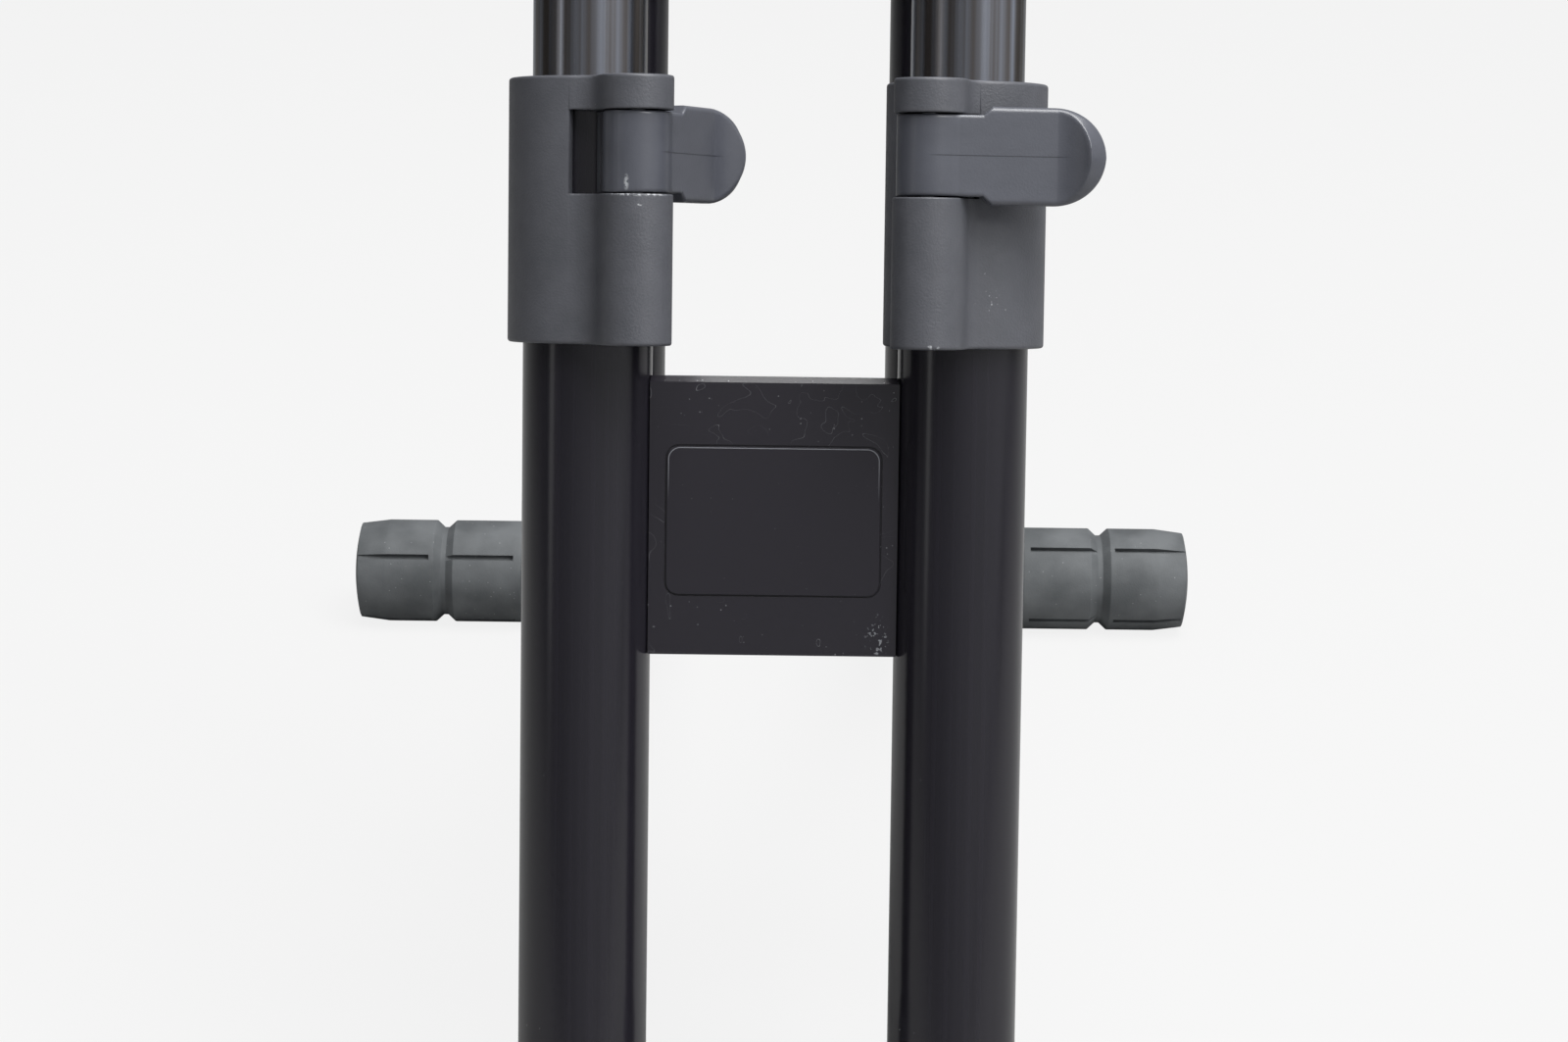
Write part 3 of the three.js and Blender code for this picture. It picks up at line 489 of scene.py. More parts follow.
satin_nylon, tree = new_finish("glass_filled_nylon_satin")
body_tone = clouded(tree, cloud_width, 8.0, 0.7, "3f4146", "5b5c62")
chalk = sparse_specks(tree, own_place(tree), fleck_spacing, 0.075, 0.05, 0.8)
chalky = add(tree, "Mix", {0: chalk, 6: body_tone, 7: linear("7e8084")}, data_type="RGBA")
finish_off(tree, {"Base Color": chalky, "Roughness": 0.48, "IOR": 1.53}, (eroded_grain, 3.0, 0.6, 0.12 * millimetre))


def rubbed_pale(material, name, spots, pale_tone="a4a6a9"):
    """A copy of a finish with pale rubbed specks. A spot is a middle, its reach on each axis and how much of it is
    rubbed, and noise above that level shows where the distance from the middle is under one reach."""
    copy = material.copy()
    copy.name = name
    tree = copy.node_tree
    skin = next(node for node in tree.nodes if node.type == "BSDF_PRINCIPLED")
    place = own_place(tree)
    total = None
    for middle, spread, share in spots:
        away = add(tree, "VectorMath", {0: place, 1: [v * millimetre for v in middle]}, operation="SUBTRACT")
        scaled = add(tree, "VectorMath", {0: away, 1: [v * millimetre for v in spread]}, operation="DIVIDE")
        reach = add(tree, "VectorMath", {0: scaled}, operation="LENGTH")
        within = add(tree, "MapRange", {"Value": reach, "From Min": 1.0, "From Max": 0.6})
        crumbs = add(tree, "TexNoise", {"Vector": place, "Scale": 1 / crumb_width, "Detail": 3.0})
        kept = add(tree, "MapRange", {"Value": crumbs, "From Min": 1.0 - share, "From Max": 1.06 - share})
        spot = add(tree, "Math", {0: within, 1: kept}, operation="MULTIPLY")
        total = spot if total is None else add(tree, "Math", {0: total, 1: spot}, operation="MAXIMUM")
    under = skin.inputs["Base Color"].links[0].from_socket
    pale = add(tree, "Mix", {0: total, 6: under, 7: linear(pale_tone)}, data_type="RGBA")
    tree.links.new(pale.outputs[2], skin.inputs["Base Color"])
    return copy


collar_finish = {
    "left": rubbed_pale(satin_nylon, "nylon_with_mould_flash", [
        ((-1.5, -23.5, 201.0), (6.0, 9.0, 0.5), 0.5), ((-3.0, -27.0, 198.6), (1.8, 4.0, 1.1), 0.36)]),
    "right": rubbed_pale(satin_nylon, "nylon_with_chips", [
        ((9.7, -12.3, 181.5), (4.0, 6.0, 3.0), 0.34), ((3.5, -27.0, 173.0), (1.2, 3.0, 0.5), 0.5),
        ((9.7, -12.3, 190.5), (3.5, 6.0, 5.0), 0.28)])}


def blended_least(first, second, blend):
    """The smaller of two values. Where they differ by less than the blend, a parabola in their difference is
    taken off, so that the change from one to the other is round."""
    mix = np.clip(0.5 + 0.5 * (second - first) / blend, 0, 1)
    return second * (1 - mix) + first * mix - blend * mix * (1 - mix)


def collar_reach(turn):
    """Distance from the tube's axis to the collar's outside, where the blended least of the distances to the
    ring and to the lobe is first met from outside."""
    trial = np.linspace(pin_offset + lobe_radius + 1, collar_radius - 0.5, 1600)[:, None]
    x, y = trial * np.sin(turn), -trial * np.cos(turn)
    ring, lobe = np.hypot(x, y) - collar_radius, np.hypot(x, y + pin_offset) - lobe_radius
    first = (blended_least(ring, lobe, valley_blend) < 0).argmax(0)
    return trial[first, 0]


def round_tube(turn, section):
    """A section of (radius, height) points given for each turn round the tube, from straight ahead."""
    turn = turn[:, None]
    return np.stack([section[..., 0] * np.sin(turn), -section[..., 0] * np.cos(turn), section[..., 1]], -1)


def section_of(corners, edges, count):
    """Corners and their edge radii, each one number or one for each of a count of turns, as rounded outlines."""
    points = np.stack([np.stack([np.broadcast_to(r, count), np.broadcast_to(z, count)], -1) for r, z in corners], 1)
    radii = np.stack([np.broadcast_to(edge, count) for edge in edges], 1)
    return rounded(points, radii)


collar_turn = np.linspace(0, 2 * np.pi, 480, endpoint=False)
outside = collar_reach(collar_turn)
from_pin = np.degrees((collar_turn + np.pi) % (2 * np.pi) - np.pi)
open_edge = window_edge * (np.clip((from_pin - window_from) / window_run_in, 0, 1)
                           * np.clip((window_to - from_pin) / window_run_in, 0, 1))
lower_band = round_tube(collar_turn, section_of(
    [(collar_bore, collar_bottom), (outside, collar_bottom), (outside, window_bottom), (collar_bore, window_bottom)],
    [0.3, collar_edge, open_edge, 0.0], len(collar_turn)))
upper_band = round_tube(collar_turn, section_of(
    [(collar_bore, window_top), (outside, window_top), (outside, collar_top), (mouth_radius, collar_top),
     (mouth_radius, collar_top - collar_lip), (collar_bore, collar_top - collar_lip)],
    [0.0, open_edge, collar_edge, 0.4, 0.0, 0.0], len(collar_turn)))
wall_turn = np.radians(np.linspace(window_to, 360 + window_from, 400))
from_end = np.minimum(wall_turn - wall_turn[0], wall_turn[-1] - wall_turn) * collar_radius
end_round = window_edge - np.sqrt(np.maximum(window_edge ** 2 - np.maximum(window_edge - from_end, 0) ** 2, 0))
wall_outside = collar_reach(wall_turn) - end_round - wall_inset
wall_low, wall_high = window_bottom - seam_lap, window_top + seam_lap
wall_section = np.stack([np.stack([0 * wall_turn + radius, 0 * wall_turn + height], -1) for radius, height in (
    (collar_bore, wall_low), (wall_outside, wall_low), (wall_outside, wall_high), (collar_bore, wall_high))], 1)
window_wall = round_tube(wall_turn, wall_section)


def spun(points, angle):
    """Turns points about Z by an angle in radians."""
    turn = np.array([[math.cos(angle), -math.sin(angle), 0], [math.sin(angle), math.cos(angle), 0], [0, 0, 1]])
    return points @ turn.T


def in_clamp(side, sign):
    """Turns points of a clamp, made with its pin straight ahead of the tube, to the pin's real place."""
    return lambda points: upright(sign)(spun(points, math.radians(pin_angles[side])))


for side, sign in sides:
    make_piece(f"{side}_satin_collar", [(lower_band, True), (upper_band, True), (window_wall, False)],
               in_clamp(side, sign), collar_finish[side], "base", [f"{side}_clamp_collar"])

# Lever pins and pressure shoes
# A 3 mm steel pin is pressed down through each lobe, and its domed end shows in the collar's top face.
# The shoe is a thin curved pad between the lever's barrel and the tube.
pin_radius, pin_foot, pin_dome = 1.5, 196.1, 0.5
spangle_width, tarnish_width = 0.8 * millimetre, 3.333 * millimetre
zinc, tree = new_finish("zinc_plated_steel")
spangle = add(tree, "TexVoronoi", {"Vector": own_place(tree), "Scale": 1 / spangle_width})
rubbed = add(tree, "MapRange", {"Value": spangle.outputs["Color"], "To Min": 0.28, "To Max": 0.42})
silver = clouded(tree, tarnish_width, 3.0, 0.5, "9fa2a6", "c3c6ca")
finish_off(tree, {"Base Color": silver, "Roughness": rubbed, "Metallic": 1.0})

pin_top = collar_top + 0.05
pin = turned(rounded([(0, pin_foot), (pin_radius, pin_foot), (pin_radius, pin_top), (0, pin_top)],
                     [0, 0.2, pin_dome, 0]), 32) - (0, pin_offset, 0)
for side, sign in sides:
    make_piece(f"{side}_pressed_pin", [(pin, True)], in_clamp(side, sign), zinc, "base",
               [f"{side}_lever_pin"])
    shoe = frame["nodes"][f"{side}_pressure_shoe"]
    shoe.data.materials.clear()
    shoe.data.materials.append(satin_nylon)

# Clamp levers
# Each is an acetal moulding with a barrel round the pin, a neck as high as the window and a wider paddle with a
# round tip. Its arm falls back from the barrel, and its tip turns forward for the thumb, up to a crease with a bevel
# past it. The mould's parting line runs along its middle.
barrel_radius, cam_throw, arm_setback, crease_blend = 6.4, 0.4, 2.2, 1.1
lever_thickness, neck_half, paddle_half = 4.6, 7.65, 9.25
step_from, step_to, lever_tip = 10.0, 11.8, 33.4
tip_reach, arm_fall, fall_from, back_swell, swell_place, tip_back = 9.8, 4.3, 4.0, 5.2, 0.72, 0.8
flare_from, flare_rise, flare_power, flare_most = 24.2, 3.2, 1.8, 1.6
crease_reach, crease_half, bevel_slope, ridge_blend = 6.7, 8.75, 0.95, 0.5
line_from, line_to = 1.4 * millimetre, 27.0 * millimetre
lever_height = (window_bottom + window_top) / 2
lever_edge = 0.7
parting_width, flow_width = 0.1 * millimetre, 5.556 * millimetre

acetal, tree = new_finish("acetal_moulded_lever")
part = add(tree, "SeparateXYZ", {0: own_place(tree)})
on_line = add(tree, "Math", {0: part.outputs["Z"], 1: lever_height * millimetre, 2: parting_width},
              operation="COMPARE")
blue_grey = clouded(tree, flow_width, 8.0, 0.68, "43454c", "55575f", (2, 1, 1))
begun = add(tree, "MapRange", {
    "Value": part.outputs["X"], "From Min": line_from - 2 * millimetre, "From Max": line_from})
ended = add(tree, "MapRange", {
    "Value": part.outputs["X"], "From Min": line_to, "From Max": line_to - 3 * millimetre})
short = add(tree, "Math", {0: begun, 1: ended}, operation="MULTIPLY")
drawn = add(tree, "Math", {0: short, 1: on_line}, operation="MULTIPLY")
lined = add(tree, "Mix", {0: drawn, 6: blue_grey, 7: linear("2e3036")}, data_type="RGBA")
finish_off(tree, {"Base Color": lined, "Roughness": 0.34, "IOR": 1.58}, (eroded_grain, 2.0, 0.25, 0.1 * millimetre))


def bent_edge(x, start, pull, end):
    """Height of a quadratic curve with a level start, a pull point and an end, at the given x."""
    share = np.linspace(0, 1, 200)
    curve = [(1 - share) ** 2 * a + 2 * share * (1 - share) * b + share ** 2 * c for a, b, c in zip(start, pull, end)]
    return np.interp(x, curve[0], curve[1])


def lever_shell(closed_turn):
    """A lever on Z at its pin, pointing along X. Its front is the blended least of the barrel's circle and the arm's
    straight fall, and its back the blended most of the circle and a quadratic curve. Past the flare's start the tip
    turns forward by the flare's power. Beyond the crease, which is half an ellipse, it falls back by the distance
    from the crease times the bevel's slope, and the ridge between the two is blended."""
    cam_x, cam_y = cam_throw * math.sin(closed_turn), cam_throw * math.cos(closed_turn)
    near_end = (1 - np.cos(np.linspace(0, np.pi / 2, 24))) * 2
    x = np.unique(np.concatenate([
        cam_x - barrel_radius + near_end + 0.01, np.linspace(cam_x - barrel_radius + 2, lever_tip - 2, 190),
        [step_from, step_to], lever_tip - 0.01 - near_end]))
    arm_line = arm_setback - barrel_radius - cam_throw
    back_line = arm_line + lever_thickness
    circle = np.sqrt(np.maximum(barrel_radius ** 2 - (x - cam_x) ** 2, 0))
    arm_front = arm_line + arm_fall * np.clip((x - fall_from) / (flare_from - fall_from), 0, 1)
    arm_back = bent_edge(x, (0, back_line), (swell_place * lever_tip, back_line + back_swell), (lever_tip, tip_back))
    on_barrel = x < cam_x
    front = np.where(on_barrel, cam_y - circle, blended_least(cam_y - circle, arm_front, crease_blend))
    back = np.where(on_barrel, cam_y + circle, -blended_least(-cam_y - circle, -arm_back, crease_blend))
    tip_centre = lever_tip - tip_reach
    past_centre = np.clip((x - tip_centre) / tip_reach, 0, 1)
    half = neck_half + (paddle_half - neck_half) * np.clip((x - step_from) / (step_to - step_from), 0, 1)
    half = np.where(x > tip_centre, paddle_half * np.sqrt(1 - past_centre ** 2), half)
    corners = [np.stack([y, lever_height + z], -1) for y, z in ((front, -half), (back, -half), (back, half),
                                                               (front, half))]
    loop = rounded(np.stack(corners, 1), lever_edge, 7)
    share = np.linspace(0, 1, 80)[1:-1, None]
    loop = np.concatenate([loop, loop[:, -1:] * (1 - share) + loop[:, :1] * share], 1)
    y, z = loop[..., 0], loop[..., 1]
    crease_tip = tip_centre + crease_reach
    past, off = np.maximum(x[:, None] - tip_centre, 0), z - lever_height
    ring = np.maximum(np.hypot(past / crease_reach, off / crease_half), 1e-6)
    beyond = (ring - 1) * ring / np.maximum(np.hypot(past / crease_reach ** 2, off / crease_half ** 2), 1e-6)
    turned_at = [flare_rise * np.clip((along - flare_from) / (crease_tip - flare_from), 0, flare_most) ** flare_power
                 for along in (x[:, None] + 0 * z, np.minimum(x[:, None], tip_centre + past / ring))]
    forward = blended_least(turned_at[0], turned_at[1] - bevel_slope * beyond, ridge_blend)
    near_front = np.clip((back[:, None] - y) / (back - front)[:, None], 0, 1)
    return np.stack([np.broadcast_to(x[:, None], y.shape), y - forward * near_front, z], -1)


scuff = ((-6.0, -2.3, 203.2), (0.45, 0.9, 2.3), 0.56)
lever_finish = {"left": rubbed_pale(acetal, "acetal_with_scuff", [scuff]), "right": acetal}
for side, sign in sides:
    closed_turn = math.radians(lever_turns[side] - pin_angles[side])
    make_piece(f"{side}_moulded_lever", [(lever_shell(closed_turn), False)],
               lambda p, put=in_clamp(side, sign), turn=closed_turn: put(spun(p, turn) - (0, pin_offset, 0)),
               lever_finish[side], f"{side}_lever", [f"{side}_lever"])

# Cross bracket
# One gloss black ABS moulding joins the four tubes. Its plate shows between the front tubes, flat and polished, with
# dust and hair scratches from handling, more dust beside the tubes and a pale rubbed corner at the lower right.
bracket_edge = 0.7 * millimetre
mote_spacing, scratch_spacing, smear_width = 0.9 * millimetre, 9 * millimetre, 9.091 * millimetre
plate_rise = 139.0
abs_gloss, tree = new_finish("gloss_moulded_abs")
place = own_place(tree)
where = add(tree, "TexNoise", {"Vector": place, "Scale": 1 / smear_width, "Detail": 3.0})
dusty = add(tree, "MapRange", {"Value": where, "From Min": 0.38, "From Max": 0.6})
dust = sparse_specks(tree, place, mote_spacing, 0.2, 0.08, 0.66, 0.65)
drift = add(tree, "Math", {0: dust, 1: dusty}, operation="MULTIPLY")
wavy = add(tree, "TexNoise", {"Vector": place, "Scale": 1 / scratch_spacing, "Detail": 1.0, "Distortion": 1.5})
hair = add(tree, "Math", {0: wavy, 1: 0.62, 2: 0.0012}, operation="COMPARE")
broken = add(tree, "Math", {0: hair, 1: dusty}, operation="MULTIPLY")
faint = add(tree, "Math", {0: broken, 1: 0.3}, operation="MULTIPLY")
marks = add(tree, "Math", {0: drift, 1: faint}, operation="MAXIMUM")
gloss_tone = add(tree, "Mix", {0: marks, 6: linear("211f25"), 7: linear("a2a4a8")}, data_type="RGBA")
smear = add(tree, "MapRange", {"Value": where, "To Min": 0.16, "To Max": 0.3})
finish_off(tree, {"Base Color": gloss_tone, "Roughness": smear, "IOR": 1.54})


def out_of_lean(points):
    """Places points in metres of the world into the leaning frame, still in metres."""
    return (points - front_foot) @ np.stack([across_stand, through_plate, along_tubes], 1)


handled_abs = rubbed_pale(abs_gloss, "gloss_abs_with_rubbed_corner", [
    ((20.6, -4.0, 115.5), (2.6, 2.0, 5.0), 0.4), ((-13.0, -4.0, 160.5), (9.0, 2.0, 3.0), 0.3),
    ((18.0, -4.0, 139.0), (3.0, 2.0, 16.0), 0.3), ((-18.0, -4.0, 132.0), (4.0, 2.0, 12.0), 0.3)], "77797d")

# The solid's own mesh, with its doubles merged, its flat faces made whole and its sharp edges worn round.
mesh = frame["nodes"]["cross_bracket"].data.copy()
mesh.name = "moulded_cross_bracket"
mesh.materials.clear()
work = bmesh.new()
work.from_mesh(mesh)
bmesh.ops.remove_doubles(work, verts=work.verts, dist=1e-6)
bmesh.ops.dissolve_limit(work, angle_limit=math.radians(1), verts=work.verts, edges=work.edges)
work.to_mesh(mesh)
work.free()
points = np.zeros(len(mesh.vertices) * 3)
mesh.vertices.foreach_get("co", points)
keep_own_place(mesh, out_of_lean(points.reshape(-1, 3)))
bracket = dress("moulded_cross_bracket", mesh, handled_abs, "base", ["cross_bracket"])
worn = bracket.modifiers.new("worn_edges", "BEVEL")
worn.width, worn.segments, worn.limit_method, worn.angle_limit = bracket_edge, 3, "ANGLE", math.radians(35)
bracket.modifiers.move(1, 0)

# Label
# A thin film with a print, in a shallow pocket of the plate. Its place is kept and left bare: black satin film with
# round corners, and a pale line just inside its cut edge is a painted highlight, full along the top and fading out a
# little above the middle.
label_width, label_height, label_corner = 41.8, 29.1, 2.7
label_back, label_front, label_rise = -3.8, -4.2, 138.15
line_inset, line_width = 0.35 * millimetre, 0.09 * millimetre
line_fades_at, line_full_at = label_rise + 4.0, label_rise + label_height / 2 - 1.0
film_mote_spacing, ripple_width = 1.1 * millimetre, 6.25 * millimetre
film, tree = new_finish("satin_polyester_film")
place = own_place(tree)
part = add(tree, "SeparateXYZ", {0: place})
# The outline is where the distance from the nearest corner's centre is one inset less than its radius.
past_corner = []
for output, half, middle in (("X", label_width / 2, 0.0), ("Z", label_height / 2, label_rise)):
    size = add(tree, "Math", {0: part.outputs[output], 1: middle * millimetre}, operation="SUBTRACT")
    size = add(tree, "Math", {0: size}, operation="ABSOLUTE")
    size = add(tree, "Math", {0: size, 1: (half - label_corner) * millimetre}, operation="SUBTRACT")
    past_corner.append(add(tree, "Math", {0: size, 1: 0.0}, operation="MAXIMUM"))
round_part = add(tree, "CombineXYZ", dict(enumerate(past_corner)))
from_corner = add(tree, "VectorMath", {0: round_part}, operation="LENGTH")
# Painted highlight: a pale line just inside the cut edge, full near the top and fading out a little above the middle.
ring = add(tree, "Math", {0: from_corner, 1: label_corner * millimetre - line_inset, 2: line_width},
           operation="COMPARE")
height_share = add(tree, "MapRange", {
    "Value": part.outputs["Z"], "From Min": line_fades_at * millimetre, "From Max": line_full_at * millimetre,
    "To Min": 0.0, "To Max": 0.8})
edge_highlight_share = add(tree, "Math", {0: ring, 1: height_share}, operation="MULTIPLY")
dust = sparse_specks(tree, place, film_mote_spacing, 0.22, 0.12, 0.62)
faint = add(tree, "Math", {0: dust, 1: 0.45}, operation="MULTIPLY")
# The pale edge line is a painted highlight, not print.
painted_edge_highlight = add(tree, "Mix", {0: edge_highlight_share, 6: linear("211f25"), 7: linear("7f8186")}, data_type="RGBA")
dusted = add(tree, "Mix", {0: faint, 6: painted_edge_highlight, 7: linear("a6a8ac")}, data_type="RGBA")
finish_off(tree, {"Base Color": dusted, "Roughness": 0.3, "IOR": 1.5}, (ripple_width, 2.0, 0.08, 0.3 * millimetre))


def lifted(outline, levels):
    """An outline of (x, y) carried up through (height, shrink) levels, each drawn in towards its own middle."""
    outline = np.asarray(outline, float)
    middle = outline.mean(0)
    size = np.abs(outline - middle).max()
    return np.stack([np.concatenate([middle + (outline - middle) * (1 - shrink / size),
                                     np.full((len(outline), 1), height)], 1) for height, shrink in levels])


half_wide, half_high = label_width / 2, label_height / 2
card = rounded([(-half_wide, -half_high), (half_wide, -half_high), (half_wide, half_high), (-half_wide, half_high)],
               label_corner, 9)
card = lifted(card, [(label_back, 0), (label_front + 0.1, 0), (label_front, 0.1)])
make_piece("bare_film_label", [(card[..., [0, 2, 1]] + (0, 0, label_rise), False)], in_lean, film, "base",
           ["blank_label"])

# Screws and hinge bolts
# Slotted pan-head screws in zinc plate hold the bracket and the tees. The two hinge bolts have hexagon heads.
screw_radius, head_radius, head_height, slot_width, slot_depth = 1.9, 3.6, 2.2, 0.9, 0.9
screw_rises = {"lower": plate_rise - 16, "upper": plate_rise + 16}


def pan_head(shank):
    """Shells of a screw on Z with its seat at zero: a shank and flange, and the two halves of the crown, each an arc
    closed by its chord beside the slot and drawn in as it rises."""
    floor = head_height - slot_depth
    stem = turned(rounded([(0, -shank), (screw_radius, -shank), (screw_radius, 0), (head_radius, 0),
                           (head_radius, floor), (0, floor)], [0, 0.3, 0, 0.2, 0, 0]), 48)
    half_slot = slot_width / 2
    start = math.asin(half_slot / head_radius)
    arc = np.linspace(start, math.pi - start, 40)
    half = np.stack([head_radius * np.cos(arc), head_radius * np.sin(arc)], -1)
    levels = [(floor - 0.05, 0), (floor + 0.3, 0), (floor + 0.6, 0.25), (head_height, 0.9)]
    crown = np.stack([np.concatenate([np.clip(half * (1 - shrink / head_radius), [-9, half_slot], 9),
                                      np.full((len(half), 1), height)], 1) for height, shrink in levels])
    return [(stem, True), (crown, False), (crown * (-1, -1, 1), False)]


ring_bore, ring_wall = 13.0, 3.0
rear_seat = hoop_depth - ring_bore - ring_wall - sleeve_gap
front_seat, front_shank, rear_shank = 19.0, 7.2, 4.5
for side, sign in sides:
    for level, z in screw_rises.items():
        for end, head_side, seat, shank in (
                ("front", 1, front_seat, front_shank), ("rear", -1, rear_seat, rear_shank)):
            place = (sign * half_spacing, seat, z)
            screw = [(grid[..., [0, 2, 1]] * (1, head_side, 1) + place, closes) for grid, closes in pan_head(shank)]
            make_piece(f"{side}_{end}_{level}_pan_screw", screw, in_lean, zinc, "base",
                       [f"{side}_{end}_{level}_screw"])

# Rear bushes and glide plugs
# Turned nylon rings. A bush sits over each rear tube's mouth and guides the hoop, and a plug in each end of a hoop
# keeps its cut edge off the tube's bore.
bush_bore, bush_outside, bush_top, bush_height, bush_chamfer = 13.0, 14.7, 259.3, 12.0, 1.2
plug_bore, plug_spigot, plug_lip, plug_length = 6.9, 9.3, 4.0, 14.0
bush_foot = bush_top - bush_height
bush = turned(rounded([(bush_bore, bush_foot), (bush_outside, bush_foot), (bush_outside, bush_top - bush_chamfer),
                       (13.6, bush_top), (mouth_radius, bush_top), (mouth_radius, bush_top - 2),
                       (bush_bore, bush_top - 2)], [0.2, 0.4, 0.6, 0.6, 0.5, 0.1, 0.1]))
plug = turned(rounded([(plug_bore, -plug_lip), (hoop_radius, -plug_lip), (hoop_radius, 0), (plug_spigot, 0),
                       (plug_spigot, plug_length), (plug_bore, plug_length)], [0.3, 0.8, 0.1, 0.1, 0.6, 0.3]))
for side, sign in sides:
    make_piece(f"{side}_nylon_bush", [(bush + (sign * half_spacing, hoop_depth, 0), True)], in_lean, satin_nylon,
               "base", [f"{side}_rear_bush"])
    for end, y, z in (("front", 0, front_leg_end), ("rear", hoop_depth, rear_leg_end)):
        make_piece(f"{side}_{end}_nylon_plug", [(plug + (sign * half_spacing, y, z - sleeve_gap), True)], in_lean,
                   satin_nylon, f"{side}_hoop", [f"{side}_{end}_glide_plug"])

# Hinge bolts and knobs
# The bolts are zinc plated with chamfered hexagon heads on the outside. The knobs are nylon mouldings with five
# thumb hollows, and each clamps an ear of the bracket against the leg's knuckle.
hinge_back, hinge_rise = 102.0, 131.0
bolt_radius, bolt_seat, bolt_end, bolt_head, head_corner = 3.9, 53.4, 12.9, 3.5, 6.5
bolt_hole = bolt_radius + 0.3
knob_radius, knob_seat, knob_face, knob_flange = 11.0, 20.0, 10.0, 2.6
hollow_pitch, hollow_radius = knob_radius + 2.6, 5.2
knob_turn = np.linspace(0, 2 * np.pi, 300, endpoint=False)


def along_x(points, sign):
    """Turns points made on Z so that Z lies along X, towards the side's own hand."""
    return np.stack([sign * points[..., 2], sign * points[..., 0], points[..., 1]], -1)


sixths = np.pi / 3 * np.arange(6)
hexagon = np.stack([head_corner * np.sin(sixths), -head_corner * np.cos(sixths)], -1)
head = lifted(rounded(hexagon, 0.4, 4), [(bolt_seat, 0.5), (bolt_seat + 0.3, 0), (bolt_seat + bolt_head - 0.6, 0),
                                         (bolt_seat + bolt_head, 0.8)])
shank = turned(rounded([(0, bolt_end), (bolt_radius, bolt_end), (bolt_radius, bolt_seat + 1), (0, bolt_seat + 1)],
                       [0, 0.6, 0, 0]), 48)
off_hollow = (knob_turn + np.pi / 5) % (2 * np.pi / 5) - np.pi / 5
inside_hollow = np.maximum(hollow_radius ** 2 - (hollow_pitch * np.sin(off_hollow)) ** 2, 0)
hollow_reach = np.where(inside_hollow > 0, hollow_pitch * np.cos(off_hollow) - np.sqrt(inside_hollow),
                        2 * knob_radius)
lobed = blended_least(hollow_reach, knob_radius + 0 * knob_turn, 1.0)
knob = round_tube(knob_turn, section_of(
    [(0, knob_face), (lobed, knob_face), (lobed, knob_seat - knob_flange), (knob_radius, knob_seat - knob_flange),
     (knob_radius, knob_seat), (bolt_hole, knob_seat), (bolt_hole, knob_face + knob_flange),
     (0, knob_face + knob_flange)], [0, 1.2, 0.2, 0.4, 0.6, 0.2, 0, 0], len(knob_turn)))
at_hinge = (0, hinge_back, hinge_rise)
for side, sign in sides:
    bolt = [(along_x(head, sign) + at_hinge, False), (along_x(shank, sign) + at_hinge, True)]
    make_piece(f"{side}_plated_bolt", bolt, in_lean, zinc, "base", [f"{side}_hinge_bolt"])
    make_piece(f"{side}_moulded_knob", [(along_x(knob, sign) + at_hinge, True)], in_lean, satin_nylon,
               f"{side}_knob", [f"{side}_hinge_knob"])

# Foot bars
# Two 25.4 mm enamelled tubes lie across the stand, the front one in the front tees and the rear one in the tees of
# the folding leg. The caps close their ends.
bar_half, bar_wall = 122.7, 1.5
bar = turned(pipe_outline(tube_radius, tube_radius - bar_wall, -bar_half, bar_half, tube_edge))
feet = (("front", front_foot, "base"), ("rear", rear_foot, "rear_leg"))
for end, foot, body in feet:
    make_piece(f"{end}_enamelled_bar", [(bar, True)], lambda p, foot=foot: foot + along_x(p, 1) * millimetre,
               tube_paint, body, [f"{end}_foot_bar"])

# Foot caps
# Thick grey rubber mouldings with a round groove, four lengthwise slots, a drawn-in outer end with a slight bulge,
# and a flat sole. The rubber is matt, bloomed paler in patches, and chalky dust lies in its grain.
cap_radius, cap_length, cap_inner, cap_bore, cap_wall = 15.35, 51.0, 75.0, 13.0, 3.0
groove_from, groove_to, groove_depth, groove_flat = 20.75, 26.65, 2.1, 1.4
end_draw, end_drop, end_bulge, sole_cut = 8.4, 1.1, 1.8, 0.5
slot_angle, slot_half, slot_floor, slot_margin = 35.5, 0.8, 13.9, 2.6
bloom_width, chalk_spacing, rubber_grain = 14 * millimetre, 1.5 * millimetre, 0.5 * millimetre

cap_rubber, tree = new_finish("grey_moulded_rubber")
place = own_place(tree)
bloom = add(tree, "TexNoise", {"Vector": place, "Scale": 1 / bloom_width, "Detail": 5.0})
patch = add(tree, "MapRange", {"Value": bloom, "From Min": 0.38, "From Max": 0.66})
grey = add(tree, "Mix", {0: patch, 6: linear("4c4f51"), 7: linear("606365")}, data_type="RGBA")
dust = sparse_specks(tree, place, chalk_spacing, 0.12, 0.07, 0.7)
dusted = add(tree, "Mix", {0: dust, 6: grey, 7: linear("909294")}, data_type="RGBA")
finish_off(tree, {"Base Color": dusted, "Roughness": 0.72, "IOR": 1.5},
           (rubber_grain, 4.0, 0.45, 0.15 * millimetre))


